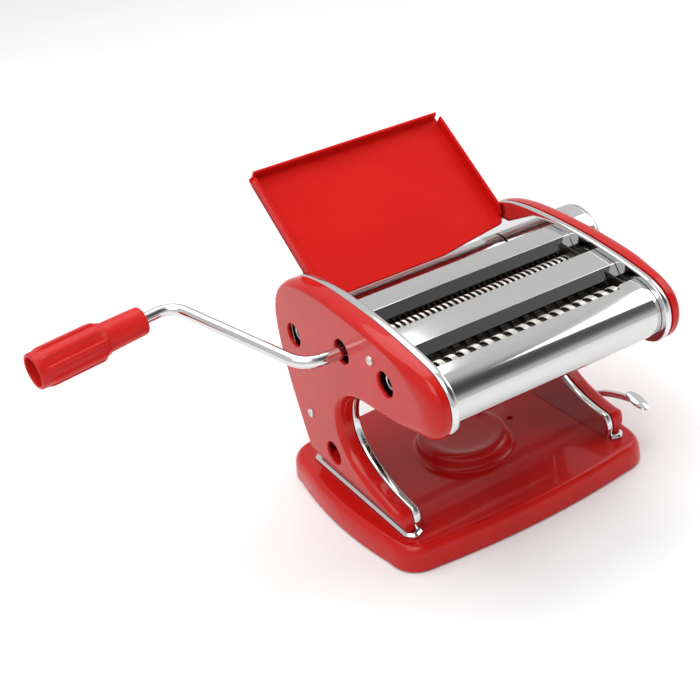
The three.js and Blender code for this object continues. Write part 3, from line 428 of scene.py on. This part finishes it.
def foot_wedge():
    part = Part()
    under = 6
    lean = (COVER_OUT - FOOT_FACE) / (FOOT_SLOPE - TRIM_THICK)
    below, above = FLOOR + TRIM_THICK - under, FLOOR + FOOT_SLOPE
    shape = [(FOOT_FACE - lean * under, below), (COVER_OUT + 0.01, above), (COVER_OUT + 20, above),
            (COVER_OUT + 20, below)]
    part.rings([[(x, y, z) for x, z in shape] for y in (-200, 200)])
    return part


LEG_HOLE = Vector((14.2, FLOOR + 26))


def build_cover(side, label):
    hollow = cover_loft(COVER_WALL)
    cuts = [foot_wedge(), hollow]
    if side < 0:
        holes = [AXLES["smooth_drive"], AXLES["narrow_drive"], AXLES["wide_drive"], LEG_HOLE]
        cuts += [lip_cutter(c, HOLE_RADIUS) for c in holes]
    else:
        cuts.append(lip_cutter(AXLES["smooth_adjust"], 5.8, 0.5))
        pin = middle("index_pin")
        cuts.append(lip_cutter((pin.y, pin.z), 2.1, 0.3))
    for i in (1, 2):
        screw = middle(f"{label}_cover_screw_{i}")
        cuts.append(lip_cutter((screw.y, screw.z), 1.9, 0.3))
    part = cover_loft(0)
    if side < 0:
        part.mirror()
        cuts = [c.mirror() for c in cuts]
    piece(f"{label}_cover_shell", part, RED_GLOSS, "machine", [f"{label}_cover"], 30, cuts)


# ---------------------------------------------------------------- side frames
def build_frame(side, label):
    part = Part()
    rings = [outline_ring(HALF, 3), outline_ring(HALF, 0.5), outline_ring(HALF + 0.3, 0),
            outline_ring(HALF + 0.9, -0.4)]
    for i in range(9):
        turn = math.pi / 2 * i / 8
        rings.append(outline_ring(FRAME_OUT - 3 + 3 * math.sin(turn), -0.4 + 2.2 * (1 - math.cos(turn))))
    rings += [outline_ring(FRAME_OUT, 2.1), outline_ring(FRAME_OUT - 0.3, 2.3), outline_ring(PLATE_OUT, 2.3)]
    part.rings(rings)
    part.verts = [Vector((v.x, v.y, max(v.z, FLOOR))) for v in part.verts]
    cuts = []
    for name, (y, z) in AXLES.items():
        hole = Part()
        radius = 8.1 + (2.9 if name == "smooth_adjust" else 0.3)
        hole.lathe((0, y, z), (1, 0, 0), [(HALF - 2, 0), (HALF - 2, radius), (PLATE_OUT + 1, radius),
                (PLATE_OUT + 1, 0)], 40)
        cuts.append(hole)
    if side < 0:
        part.mirror()
        cuts = [c.mirror() for c in cuts]
    piece(f"{label}_frame_plate", part, CHROME, "machine", [f"{label}_frame"], 40, cuts)


# ---------------------------------------------------------------- foot trims
def build_trim(side, label):
    low, high = span(f"{label}_foot_trim")
    outer = max(abs(low.x), abs(high.x))
    front, back = low.y, high.y
    line = [(HALF + 1.5, front + 3.2), (outer - 5, front), (outer, front + 6), (outer, back - 8),
            (outer - 6, back),
            (HALF + 3, back - 1), (HALF + 3, back - 8)]
    path = filleted(line, [0, 4, 5, 5, 5, 4, 0], steps=6)
    path = [(x, y, FLOOR + 1.6) for x, y in path]
    dense = []
    for a, b in zip(path, path[1:]):
        count = max(1, int((Vector(b) - Vector(a)).length / 4))
        dense += [tuple(Vector(a).lerp(Vector(b), k / count)) for k in range(count)]
    dense.append(path[-1])
    part = Part()
    points = [Vector(p) for p in dense]
    rings = []
    section = filleted([(-1.5, -1.6), (2.3, -1.6), (2.3, -0.2), (0.9, 1.3), (-0.3, 1.6), (-1.5, 1.3)], 0.5,
            True, 3)
    for i, p in enumerate(points):
        a, b = points[max(i - 1, 0)], points[min(i + 1, len(points) - 1)]
        t = (b - a).normalized()
        out = Vector((t.y, -t.x, 0))
        rings.append([p + out * (u - 2.3) + Vector((0, 0, v)) for u, v in section])
    part.rings(rings)
    if side < 0:
        part.mirror()
    piece(f"{label}_foot_strip", part, CHROME, "machine", [f"{label}_foot_trim"], 50)


# ---------------------------------------------------------------- cover screws
def build_screw(name):
    side = -1 if span(name)[0].x < 0 else 1
    centre = middle(name)
    head = COVER_OUT + 0.05
    part = Part()
    profile = [(HALF + 1, 0), (HALF + 1, 1.5), (head, 1.5), (head, 3.1), (head + 0.5, 3.1)]
    profile += [(head + 0.5 + 1.1 * math.sin(a), 3.1 - 1.9 * (1 - math.cos(a))) for a in (0.4, 0.8, 1.2, 1.5)]
    profile += [(head + 1.55, 1.0), (head + 0.7, 0.8), (head + 0.7, 0)]
    part.lathe((0, centre.y, centre.z), (1, 0, 0), profile, 36)
    if side < 0:
        part.mirror()
    piece(f"{name}_head", part, STEEL, "machine", [name], 35)


# ---------------------------------------------------------------- base
def base_outline(grow, steps=14):
    high = span("base_shell")[1]
    x, y = high.x + grow, high.y + grow
    corner, bow = 24 + grow, 5
    out = [Vector((x - bow, -y + bow + corner))]
    for rest, count in [
        ([(x + bow, 0), (x - bow, y - bow - corner)], steps),
        ([(x - bow, y - bow), (x - bow - corner, y - bow)], steps // 2 + 2),
        ([(0, y + bow), (-x + bow + corner, y - bow)], steps),
        ([(-x + bow, y - bow), (-x + bow, y - bow - corner)], steps // 2 + 2),
        ([(-x - bow, 0), (-x + bow, -y + bow + corner)], steps),
        ([(-x + bow, -y + bow), (-x + bow + corner, -y + bow)], steps // 2 + 2),
        ([(0, -y - bow), (x - bow - corner, -y + bow)], steps),
        ([(x - bow, -y + bow), (x - bow, -y + bow + corner)], steps // 2 + 2),
    ]:
        out += bezier([out[-1], *rest], count)
    return [tuple(p) for p in out[1:]]


BASE_TOP = FLOOR - 0.3
BOSS_RADIUS = 31.5
BOSS_TOP = BASE_TOP + 10


def build_base():
    part = Part()
    floor = span("base_shell")[0].z

    def ring(z, grow):
        return [(x, y, z) for x, y in base_outline(grow)]

    rings = [ring(floor + 0.1, -3.2), ring(floor, -2.4), ring(floor, -0.9), ring(floor + 0.25, -0.25),
    ring(floor + 0.9, 0)]
    rings += [ring(floor + 4, -0.15), ring(floor + 7.2, -0.45)]
    for i in range(1, 10):
        turn = math.pi / 2 * i / 9
        rings.append(ring(floor + 7.2 + (BASE_TOP - floor - 7.2) * math.sin(turn),
                -0.45 - 5.6 * (1 - math.cos(turn))))
    rings.append(ring(BASE_TOP, -9))
    part.rings(rings, False, True)
    inner = [ring(floor + 0.1, -3.2), ring(floor + 7, -3.6), ring(BASE_TOP - 3.4, -6),
            ring(BASE_TOP - 2.4, -8)]
    part.rings(inner, False, True)
    boss = [(BASE_TOP - 0.4, 0), (BASE_TOP - 0.4, BOSS_RADIUS + 6), (BASE_TOP + 0.02, BOSS_RADIUS + 4.5)]
    boss += [(BASE_TOP + 3.2 - 3.2 * math.cos(a), BOSS_RADIUS + 4.5 - 3.6 * math.sin(a)) for a in (0.3, 0.6,
            0.9, 1.2, 1.5)]
    boss += [(BOSS_TOP - 3.6, BOSS_RADIUS + 0.3)]
    boss += [(BOSS_TOP - 3.6 + 3.6 * math.sin(a),
            BOSS_RADIUS + 0.3 - 5.2 * (1 - math.cos(a))) for a in (0.25, 0.5, 0.8, 1.1, 1.35, 1.57)]
    boss += [(BOSS_TOP - 0.1, BOSS_RADIUS - 7), (BOSS_TOP - 0.9, BOSS_RADIUS - 9.5),
            (BOSS_TOP - 1.7, BOSS_RADIUS - 14), (BOSS_TOP - 1.9, 0)]
    part.lathe((0, 0, 0), (0, 0, 1), boss, 96)
    for sx in (-1, 1):
        wall = Part()
        wall.prism([(-22, 7), (22, 7), (22, BASE_TOP - 1.5), (-22, BASE_TOP - 1.5)],
                *sorted((sx * 11, sx * 14)))
        part.add(wall.verts, wall.faces)
    for name in ("pad_front_left", "pad_front_right", "pad_back_left", "pad_back_right"):
        spot = middle(name)
        part.lathe((spot.x, spot.y, 0), (0, 0, 1), [(4.3, 0), (4.3, 6.5), (4.8, 7), (BASE_TOP - 2, 7.4)], 32)
    bore = Part()
    bore.lathe((0, 0, SHAFT_HEIGHT), (1, 0, 0), [(-16.8, 0), (-16.8, 3.5), (120, 3.5), (120, 0)], 32)
    well = Part()
    well.lathe((0, 0, 0), (0, 0, 1), [(8, 0), (8, BOSS_RADIUS - 7), (BOSS_TOP - 4.3, BOSS_RADIUS - 7),
            (BOSS_TOP - 4.3, 0)], 48)
    dimple = Part()
    dimple.lathe((43, 4, BASE_TOP), (0, 0, 1), [(-1.5, 0), (-1.5, 1.9), (-0.4, 2.2), (0.05, 2.9), (1, 2.9),
            (1, 0)], 28)
    piece("base_body", part, RED_GLOSS, "machine", ["base_shell"], 30, [well, bore, dimple])


def build_pads():
    for name in ("pad_front_left", "pad_front_right", "pad_back_left", "pad_back_right"):
        spot = middle(name)
        part = Part()
        part.lathe((spot.x, spot.y, 0), (0, 0, 1), [(0.9, 0), (0.9, 3.4), (0.4, 4), (0, 5), (0, 6.6),
                (0.5, 7.2), (3, 8), (3.7, 7.8), (4, 7.2), (4, 0)], 40)
        piece(f"{name}_foot", part, RUBBER, "machine", [name], 40)


# ---------------------------------------------------------------- suction cup and lever
def build_suction():
    part = Part()
    cup = [(0.9, 0), (0.7, 20), (0.35, 44), (0.05, 57), (0, 59.2), (0.25, 60), (0.7, 59.8), (1.4, 55),
            (2.0, 44), (2.5, 26), (2.6, 14), (2.6, 0)]
    part.lathe((0, 0, 0), (0, 0, 1), cup, 96)
    piece("suction_cup_rubber", part, RUBBER, "suction", ["suction_cup"], 40)

    lever = Part()
    root = span("base_shell")[1].x + 2.2
    lever.lathe((0, 0, SHAFT_HEIGHT), (1, 0, 0), [(-16, 0), (-16, 2.6), (-15.6, 3), (root - 2.5, 3),
            (root + 1.2, 2.95), (root + 2.5, 2.2), (root + 2.9, 0)], 32)
    lever.lathe((0, -1.2, SHAFT_HEIGHT), (1, 0, 0), [(-4.7, 0), (-4.7, 3.6), (4.7, 3.6), (4.7, 0)], 32)
    route = [(0, 0), (0.06, 0.10), (0.16, 0.30), (0.28, 0.50), (0.42, 0.68), (0.58, 0.81), (0.74, 0.90),
            (0.88, 0.96), (1, 1)]
    key = [Vector((root + 6 * f, -46 * f, SHAFT_HEIGHT + 17 * u)) for f, u in route]
    path = []
    count = 8
    for i in range(len(key) - 1):
        p0, p1, p2, p3 = key[max(i - 1, 0)], key[i], key[i + 1], key[min(i + 2, len(key) - 1)]
        for k in range(count):
            t = k / count
            path.append(0.5 * ((2 * p1) + (p2 - p0) * t + (2 * p0 - 5 * p1 + 4 * p2 - p3) * t * t
                               + (3 * p1 - p0 - 3 * p2 + p3) * t ** 3))
    lever.tube(path, 2.6, 24)
    tip = key[-1] + Vector((0.2, -3.4, 0.7))
    pad = Part()
    rings = []
    steps, sides = 12, 28
    for i in range(steps + 1):
        a = math.pi * i / steps
        s = math.sin(a)
        along = -10.4 * math.cos(a)
        turns = [TAU * k / sides for k in range(sides)]
        rings.append([tip + Vector((5.2 * s * math.cos(turn), 0.965 * along,
                                    1.7 * s * math.sin(turn) + 0.26 * along)) for turn in turns])
    pad.rings(rings)
    lever.add(pad.verts, pad.faces)
    piece("suction_lever_rod", lever, CHROME, "lever", ["suction_lever"], 40)


# ---------------------------------------------------------------- top covers
SHEET = 0.9


def crest_line():
    """The covers' outer line over the head, as (y, z) points from back to front."""
    outline = side_outline(steps=40)
    depth = 3.9
    return [(y + d.x * depth, z + d.y * depth) for (y, z), d in zip(outline, inwards(outline))]


CREST = crest_line()


def crest_z(y):
    top = sorted(p for p in CREST if p[1] > HEAD_TOP - 26 and p[0] > HEAD_FRONT + 9)
    for a, b in zip(top, top[1:]):
        if a[0] <= y <= b[0]:
            return a[1] + (b[1] - a[1]) * (y - a[0]) / (b[0] - a[0])
    raise ValueError(y)


def sheet_outline(line, thick=SHEET):
    pts = [Vector(p) for p in line]
    inner = []
    for i, p in enumerate(pts):
        a, b = pts[max(i - 1, 0)], pts[min(i + 1, len(pts) - 1)]
        t = (b - a).normalized()
        inner.append(p + Vector((-t.y, t.x)) * thick)
    return [tuple(p) for p in pts] + [tuple(p) for p in reversed(inner)]


def bent_sheet(name, runs, node):
    """A bent sheet made of lengths along X: (x0, x1, line from back to front)."""
    part = Part()
    for x0, x1, line in runs:
        part.prism(sheet_outline(line), x0, x1)
    piece(name, part, SHEET_CHROME, "machine", [node], 25)


LIP_DROP = 6.4
LIP_LEAN = 4.2


def slotted_cover(node, heel_drop, left, right):
    """A cover behind a slot: its flat rises to a ridge, and a lip slopes down from there into the slot."""
    low, high = span(node)
    heel, ridge = high.y - 0.9, low.y + LIP_LEAN + 0.2
    steps = 10
    top = [(heel + (ridge - heel) * i / steps,
            crest_z(heel + (ridge - heel) * i / steps)) for i in range(steps + 1)]
    front = top[-1]
    line = [(heel + 0.4, top[0][1] - heel_drop), *top, (front[0] - LIP_LEAN, front[1] - LIP_DROP)]
    stub = [*line[:-1], (front[0] - LIP_LEAN * 0.3, front[1] - LIP_DROP * 0.3)]
    radii = [0, 1.1] + [0] * (steps - 1) + [0.9, 0]
    notch, half_notch = right - 9, 0.6
    bent_sheet(f"{node}_sheet", [
        (left, notch - half_notch, filleted(line, radii)),
        (notch - half_notch, notch + half_notch, filleted(stub, radii)),
        (notch + half_notch, right, filleted(line, radii))], node)


def build_top_covers():
    left, right = -HALF + 0.4, HALF - 0.4
    slotted_cover("rear_cover", 7.5, left, right)
    slotted_cover("middle_cover", 1.2, left, right)
    # front cover, rolled round the nose
    low, high = span("front_cover")
    start = high.y
    ordered = [p for p in reversed(CREST) if p[0] < start - 0.6 and p[1] > low.z
               and (p[0] < HEAD_FRONT + 26 or p[1] > HEAD_UNDER + 20)]
    line = [(start, crest_z(start) - 1.6), (start - 0.5, crest_z(start - 0.5) - 0.5), *ordered]
    tongue = [(start + 3.6, crest_z(start) - 1.0), (start + 2.8, crest_z(start + 2.8) - 0.3), *ordered]
    slope = [(start + 1.8, crest_z(start) - 1.3), (start + 1.2, crest_z(start + 1.2) - 0.4), *ordered]
    bent_sheet("front_cover_sheet", [(left, right - 15, line), (right - 15, right - 12.5, slope),
            (right - 12.5, right, tongue)], "front_cover")
    # dark brackets at the slots' right ends
    for name, node, other in (("narrow_slot_bracket", "rear_cover", "middle_cover"),
    ("wide_slot_bracket", "middle_cover", "front_cover")):
        y0, y1 = span(node)[0].y + LIP_LEAN - 0.6, span(other)[1].y + 0.4
        bracket = Part()
        zt = crest_z(y0) - 2.2
        bracket.prism(filleted([(y0, zt), (y0, zt - 7), (y1, zt - 8), (y1, zt - 2.6)], 0.8, True, 3),
                right - 8.2, right - 7.2)
        bracket.prism(filleted([(y0, zt - 6), (y0, zt - 7), (y1, zt - 8), (y1, zt - 7)], 0.3, True, 2),
                right - 8, right)
        piece(name, bracket, DARK_METAL, "machine", [], 40)


# ---------------------------------------------------------------- rollers and cutters
def cutter(body, node, pitch, phase, tip, teeth, notch):
    """A cutting roller: a core and disc faces in painted shade, and a finely toothed rim on each disc, bright
    steel on the driven roller and in painted shade on the drive roller.
    """
    centre = AXLES[body]
    end, core, rim = HALF - 0.9, CUTTER_CORE, tip - 0.8
    sides = teeth * 2

    def ring(x, radius, deep=0.0):
        return [(x, centre[0] + (radius - deep * (i % 2)) * math.cos(TAU * i / sides),
                 centre[1] + (radius - deep * (i % 2)) * math.sin(TAU * i / sides)) for i in range(sides)]

    inner, rims = Part(), Part()
    rings = [ring(-end, 5), ring(-end, core)]
    x = -end + pitch * (0.25 + phase)
    while x + pitch / 2 < end - 0.6:
        a, b = x + 0.12, x + pitch / 2 - 0.12
        rings += [ring(a, core), ring(a, rim), ring(b, rim), ring(b, core)]
        rims.rings([ring(a, rim - 0.1), ring(a, tip - 0.15, notch), ring(a + 0.12, tip, notch),
                    ring(b - 0.12, tip, notch), ring(b, tip - 0.15, notch), ring(b, rim - 0.1)], False, False)
        x += pitch
    rings += [ring(end, core), ring(end, 5)]
    inner.rings(rings)
    piece(f"{node}_core", inner, CUTTER_PAINTED_SHADE, body, [node], 20)
    # The drive rollers' rims are in painted shade too, standing in for the shade under the covers; the driven
    # rims are bright steel
    piece(f"{node}_rims", rims, CUTTER if body.endswith("driven") else CUTTER_PAINTED_SHADE, body, [node], 20)
    ends = Part()
    ends.lathe((0, *centre), (1, 0, 0), journal_profile(body.endswith("_drive")), 32)
    piece(f"{node}_ends", ends, ROLLER, body, [node], 30)


def journal_profile(socket):
    """The ends of a roller: a plain journal at +X, and at -X the crank's socket or a short journal."""
    right, pin = ROLLER_END, JOURNAL_RADIUS
    if not socket:
        return [(right, 0), (right, pin - 0.4), (right - 0.4, pin), (-PLATE_OUT - 1.7, pin),
                (-PLATE_OUT - 2, pin - 0.3), (-PLATE_OUT - 2, 0)]
    neck, bore = 6.2, 4.4
    return [(right, 0), (right, pin - 0.4), (right - 0.4, pin), (-PLATE_OUT - 2.4, pin),
            (-PLATE_OUT - 2.4, neck), (-right + 0.4, neck), (-right, neck - 0.4),
            (-right, bore + 0.4), (-right + 0.4, bore), (22 - right, bore), (22 - right, 0)]


def smooth_roller(name, centre, socket, body, node):
    part = Part()
    radius = SMOOTH_RADIUS
    end = HALF - 0.7
    part.lathe((0, *centre), (1, 0, 0), [(-end, 5), (-end, radius - 0.8), (-end + 0.25, radius - 0.25),
            (-end + 0.8, radius),
                                         (end - 0.8, radius), (end - 0.25, radius - 0.25),
                                         (end, radius - 0.8), (end, 5)], 96)
    part.lathe((0, *centre), (1, 0, 0), journal_profile(socket), 32)
    piece(name, part, ROLLER, body, [node], 30)


def build_rollers():
    for body, pitch, phase, teeth, notch in (
            ("narrow_drive", 4.25, 0.0, 44, 0.35), ("narrow_driven", 4.25, 0.5, 44, 0.35),
            ("wide_drive", 8.5, 0.0, 36, 0.5), ("wide_driven", 8.5, 0.5, 36, 0.5)):
        cutter(body, f"{body}_cutter", pitch, phase, CUTTER_TIP, teeth, notch)
    smooth_roller("smooth_drive_cylinder", AXLES["smooth_drive"], True, "smooth_drive", "smooth_drive_roller")
    smooth_roller("smooth_adjust_cylinder", AXLES["smooth_adjust"], False, "smooth_adjust",
            "smooth_adjust_roller")


# ---------------------------------------------------------------- dough tray
TRAY_TILT = math.radians(36.8)
TRAY_FOOT = Vector((33.069, 143.295))  # y and z of the lower end of its floor


def build_tray():
    foot = TRAY_FOOT
    cos, sin = math.cos(TRAY_TILT), math.sin(TRAY_TILT)
    half, length, thick, wall, start = 75, 102, 2, 7, 12

    def place(x, up, height):
        return Vector((x, foot.x + up * cos - height * sin, foot.y + up * sin + height * cos))

    part = Part()

    def slab(outline, h0, h1, bevel=0.5):
        """A flat piece of the tray: an (x, up) outline between two heights, its top edge eased."""
        shrink = []
        pts = [Vector(p) for p in outline]
        area = sum(p.x * pts[(i + 1) % len(pts)].y - pts[(i + 1) % len(pts)].x * p.y
                   for i, p in enumerate(pts))
        side = 1 if area > 0 else -1
        for i, p in enumerate(pts):
            a, b = (p - pts[i - 1]).normalized(), (pts[(i + 1) % len(pts)] - p).normalized()
            t = (a + b).normalized()
            shrink.append(p + Vector((-t.y, t.x)) * side * bevel)
        rings = [[place(p.x, p.y, h0 + bevel) for p in pts], [place(p.x, p.y, h1 - bevel) for p in pts],
                 [place(*(p * 0.3 + q * 0.7), h1 - bevel * 0.3) for p, q in zip(pts, shrink)],
                 [place(q.x, q.y, h1) for q in shrink]]
        rings.insert(0, [place(q.x, q.y, h0) for q in shrink])
        part.rings(rings)

    # floor, its lower right corner cut on a slant
    slab(filleted([(-half, 0), (20, 0), (half - 2.5, start - 5), (half, start - 1), (half, length),
    (-half, length)],
                  [1, 6, 3, 1.5, 1.5, 1.5], True, 4), -thick, 0, 0.45)
    for side in (-1, 1):
        a, b = sorted((side * half, side * (half - thick)))
        profile = filleted([(start, -thick), (start, 2), (start + 5, wall), (length - 5, wall),
                (length - 5, -thick)], [0, 2.5, 3, 0, 0], steps=5)
        rings = []
        for x, ease in ((a, 0.35), (a + 0.35, 0), (b - 0.35, 0), (b, 0.35)):
            mid = Vector((sum(p[0] for p in profile) / len(profile),
                    sum(p[1] for p in profile) / len(profile)))
            ring = []
            for p in profile:
                q = Vector(p)
                q = q - (q - mid).normalized() * ease
                ring.append(place(x, q.x, q.y))
            rings.append(ring)
        part.rings(rings)
    # folded top edge
    ledge = filleted([(length - thick, -thick - 4), (length, -thick - 4), (length, wall),
    (length - thick, wall)], 0.6, True, 4)
    part.rings([[place(x, u, h) for u, h in ledge] for x in (-half + 2.2, -half + 2.5, half - 2.5,
            half - 2.2)])
    for side in (-1, 1):
        xs = sorted((side * (half - 6), side * (half - 20)))
        hook = filleted([(19.8, -7), (22.8, -7), (22.8, -1.5), (19.8, -1.5)], 0.5, True, 3)
        part.rings([[place(x, u, h) for u, h in hook] for x in xs])
    piece("dough_tray_panel", part, RED_SATIN, "tray", ["dough_tray"], 30)


# ---------------------------------------------------------------- thickness knob
def build_knob():
    low, high = span("adjust_knob")
    start, end = low.x, high.x
    radius = (high.z - low.z) / 2
    y, z = AXLES["smooth_adjust"]
    part = Part()
    profile = [(end - 1.2, 0), (end - 1.2, 4), (end - 0.9, 4.6), (end - 0.9, 9), (end - 1.1, 9.5),
            (end - 1.1, 15.5), (end - 0.5, 16.3)]
    profile += [(end - 0.1, 17.5), (end, radius - 4.4), (end - 0.5, radius - 2.6),
            (end - 1.5, radius - 1.2), (end - 2.8, radius - 0.5)]
    profile += [(end - 4.0, radius - 0.3), (end - 4.3, radius - 0.9), (end - 5.0, radius - 0.9),
            (end - 5.3, radius - 0.1), (end - 8, radius)]
    profile += [(start + 3, radius), (start + 0.8, radius - 0.1), (start, radius - 0.8), (start, radius - 3)]
    pocket, hub = end - 4.2, 10.05
    profile += [(pocket, radius - 3), (pocket, hub), (start + 7, hub), (start + 7, 5.5), (start + 9.5, 5.5),
            (start + 9.5, hub - 2), (pocket, hub - 2), (pocket, 0)]
    part.lathe((0, y, z), (1, 0, 0), profile, 96)
    piece("adjust_knob_shell", part, CHROME, "knob", ["adjust_knob"], 40)


# ---------------------------------------------------------------- crank and grip
def build_crank():
    y, z = AXLES["narrow_drive"]
    lift = math.radians(11)
    tilt = math.radians(8.2)
    out = Vector((0, math.cos(lift), math.sin(lift)))
    origin = Vector((0, y, z))
    corner1 = Vector((-COVER_OUT - 24.7, 0, 0))
    corner2 = out * 98
    corner2.x = corner1.x - 40.5
    way = out * -math.sin(tilt)
    way.x = -math.cos(tilt)
    grip_start, grip_length, pocket_depth, bend, rod = 22, 77, 17, 13, 4
    start = Vector((-67.6, 0, 0))
    end = corner2 + way * (grip_start + grip_length - pocket_depth + 4)
    arm = (corner2 - corner1).normalized()

    def curve(corner, a, b, steps=14):
        p, q = corner - a * bend, corner + b * bend
        places = [k / steps for k in range(steps + 1)]
        return [(p * (1 - t) + corner * t) * (1 - t) + (corner * (1 - t) + q * t) * t for t in places]

    def line(a, b, steps=10):
        return [a.lerp(b, k / steps) for k in range(1, steps)]

    first = curve(corner1, Vector((-1, 0, 0)), arm)
    second = curve(corner2, arm, way)
    path = [start, start + Vector((-0.5, 0, 0)), *line(start, first[0]), *first,
            *line(first[-1], second[0]), *second, *line(second[-1], end), end]
    sizes = [(rod, rod)] * len(path)
    sizes[0] = (rod - 0.5, rod - 0.5)
    part = Part()
    part.tube([origin + p for p in path], sizes, 32)
    piece("crank_rod_bar", part, CHROME, "crank", ["crank_rod"], 50)

    grip = Part()
    g0 = origin + corner2 + way * grip_start
    length = grip_length
    r_in, r_out = 9.4, 12.5
    ribs = 9
    bore = rod + 0.8
    profile = [(0, bore), (0, r_in - 1.6), (0.3, r_in - 0.9), (0.9, r_in - 0.3), (1.8, r_in)]
    profile += [(1.8 + (length * 0.36 - 1.8) * k / 6, r_in + 0.5 * k / 6) for k in range(1, 7)]
    neck = length * 0.36
    profile += [(neck + 0.35, r_in + 0.55), (neck + 0.9, r_in + 1.3), (neck + 2.4, r_out - 1.6),
            (neck + 4.2, r_out - 0.75)]
    body_start = neck + 5.5
    steps = 26
    profile += [(body_start + (length - 2.2 - body_start) * k / steps, r_out - 0.6) for k in range(steps + 1)]
    profile += [(length - 1.2, r_out - 0.65), (length - 0.5, r_out - 0.9), (length - 0.1, r_out - 1.5),
            (length, r_out - 2.0)]
    profile += [(length - 0.2, r_out - 2.6), (length - 0.8, r_out - 3),
            (length - pocket_depth, r_out - 3.2), (length - pocket_depth, bore), (0, bore)]

    def rib(place, angle):
        if place < neck + 1 or place > length - 3.5:
            return 0.0
        s = (angle * ribs / TAU) % 1.0
        d = abs(s - 0.5)
        across = 1 - smoothstep(d, 0.13, 0.25)
        along = smoothstep(place, neck + 2.2, neck + 6.5) * (1 - smoothstep(place, length - 9, length - 3.6))
        return 1.15 * across * along

    outer = [i for i, (p, r) in enumerate(profile) if r > r_in + 1.0 and p < length - 3.5]
    last_outer = max(outer)
    sides = 9 * 20
    skin = profile[:last_outer + 1]
    inner = profile[last_outer:]
    grip.lathe(g0, way, skin, sides, shape=rib)
    grip.lathe(g0, way, inner, sides)
    piece("crank_grip_body", grip, GRIP_RED, "grip", ["crank_grip"], 40)


# ---------------------------------------------------------------- CAD nodes that stay
def dress_nodes():
    for name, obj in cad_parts.items():
        if "bush" in name or "bearing" in name:
            mat = BRONZE
        elif "comb" in name:
            mat = NYLON
        elif "pad_" in name or "cup" in name:
            mat = RUBBER
        elif "chrome" in name:
            mat = CHROME
        else:
            mat = STEEL
        for slot_ in obj.material_slots:
            slot_.material = mat
        if not obj.material_slots:
            obj.data.materials.append(mat)
        bevel = obj.modifiers.new("ease", "BEVEL")
        bevel.width, bevel.segments, bevel.angle_limit = 0.0002, 2, math.radians(35)


# ---------------------------------------------------------------- stage, light and camera
def build_stage():
    size = 6000
    mesh = bpy.data.meshes.new("floor")
    mesh.from_pydata([(-size * MM, -size * MM, 0), (size * MM, -size * MM, 0), (size * MM, size * MM, 0),
            (-size * MM, size * MM, 0)], [], [(0, 1, 2, 3)])
    floor = bpy.data.objects.new("floor", mesh)
    bpy.context.scene.collection.objects.link(floor)
    mat = surface("pale_floor", [(0.86, 0.86, 0.86), (0.90, 0.90, 0.90)], (0.8, 0.9), grain=40, bump=0.0,
            patches=1.5, specular=0.1)
    mesh.materials.append(mat)

    world = bpy.data.worlds.new("studio")
    bpy.context.scene.world = world
    world.use_nodes = True
    nodes, links = world.node_tree.nodes, world.node_tree.links
    back = nodes["Background"]
    place = nodes.new("ShaderNodeTexCoord")
    dot = nodes.new("ShaderNodeVectorMath")
    dot.operation = "DOT_PRODUCT"
    dot.inputs[1].default_value = (0.38, -0.68, 0.63)
    links.new(place.outputs["Generated"], dot.inputs[0])
    ramp = nodes.new("ShaderNodeValToRGB")
    ramp.color_ramp.elements[0].position, ramp.color_ramp.elements[0].color = 0.0, (0.80, 0.80, 0.80, 1)
    ramp.color_ramp.elements[1].position, ramp.color_ramp.elements[1].color = 1.0, (0.09, 0.09, 0.095, 1)
    for position, level in ((0.55, 0.86), (0.80, 0.76), (0.88, 0.48), (0.94, 0.20)):
        element = ramp.color_ramp.elements.new(position)
        element.color = (level, level, level, 1)
    shift = nodes.new("ShaderNodeMapRange")
    shift.inputs["From Min"].default_value, shift.inputs["From Max"].default_value = 0.0, 1.0
    links.new(dot.outputs["Value"], shift.inputs["Value"])
    links.new(shift.outputs["Result"], ramp.inputs["Fac"])
    links.new(ramp.outputs["Color"], back.inputs["Color"])
    back.inputs["Strength"].default_value = 0.9

    def area(name, place_, target, size_, power):
        light = bpy.data.lights.new(name, "AREA")
        light.shape, light.size, light.size_y, light.energy = "RECTANGLE", size_[0], size_[1], power
        obj = bpy.data.objects.new(name, light)
        obj.location = place_
        obj.rotation_mode = "QUATERNION"
        obj.rotation_quaternion = (Vector(target) - Vector(place_)).to_track_quat("-Z", "Y")
        bpy.context.scene.collection.objects.link(obj)

    area("key", (-0.9, -0.7, 1.9), (0, 0, 0.05), (1.4, 1.4), 20)
    area("fill", (1.5, -0.4, 1.3), (0, 0, 0.1), (1.2, 1.2), 9)
    area("top", (0.0, 0.8, 2.0), (0, 0, 0.1), (2.0, 1.2), 18)


CAMERA_PLACE = Vector((-389.8, -602.4, 504.1))
FOCAL_PIXELS = 1254
IMAGE_PIXELS = 700
SENSOR = 36


def build_camera():
    azimuth, elevation, roll = math.radians(-27.44), math.radians(29.32), math.radians(-7.84)
    back = Vector((math.sin(azimuth) * math.cos(elevation), -math.cos(azimuth) * math.cos(elevation),
            math.sin(elevation)))
    right = (-back).cross(Vector((0, 0, 1))).normalized()
    up = right.cross(-back)
    side = right * math.cos(roll) + up * math.sin(roll)
    top = up * math.cos(roll) - right * math.sin(roll)
    data = bpy.data.cameras.new("camera")
    data.sensor_width, data.lens = SENSOR, FOCAL_PIXELS / IMAGE_PIXELS * SENSOR
    data.clip_start, data.clip_end = 0.01, 50
    camera = bpy.data.objects.new("camera", data)
    turn = Matrix((side, top, back)).transposed()
    camera.matrix_world = Matrix.Translation(CAMERA_PLACE * MM) @ turn.to_4x4()
    bpy.context.scene.collection.objects.link(camera)
    bpy.context.scene.camera = camera


# ---------------------------------------------------------------- the whole machine
dress_nodes()
for label, side in (("left", -1), ("right", 1)):
    build_cover(side, label)
    build_frame(side, label)
    build_trim(side, label)
    build_screw(f"{label}_cover_screw_1")
    build_screw(f"{label}_cover_screw_2")
build_base()
build_pads()
build_suction()
build_top_covers()
build_rollers()
build_tray()
build_knob()
build_crank()
build_stage()
build_camera()
bpy.context.scene.view_settings.view_transform = "Standard"
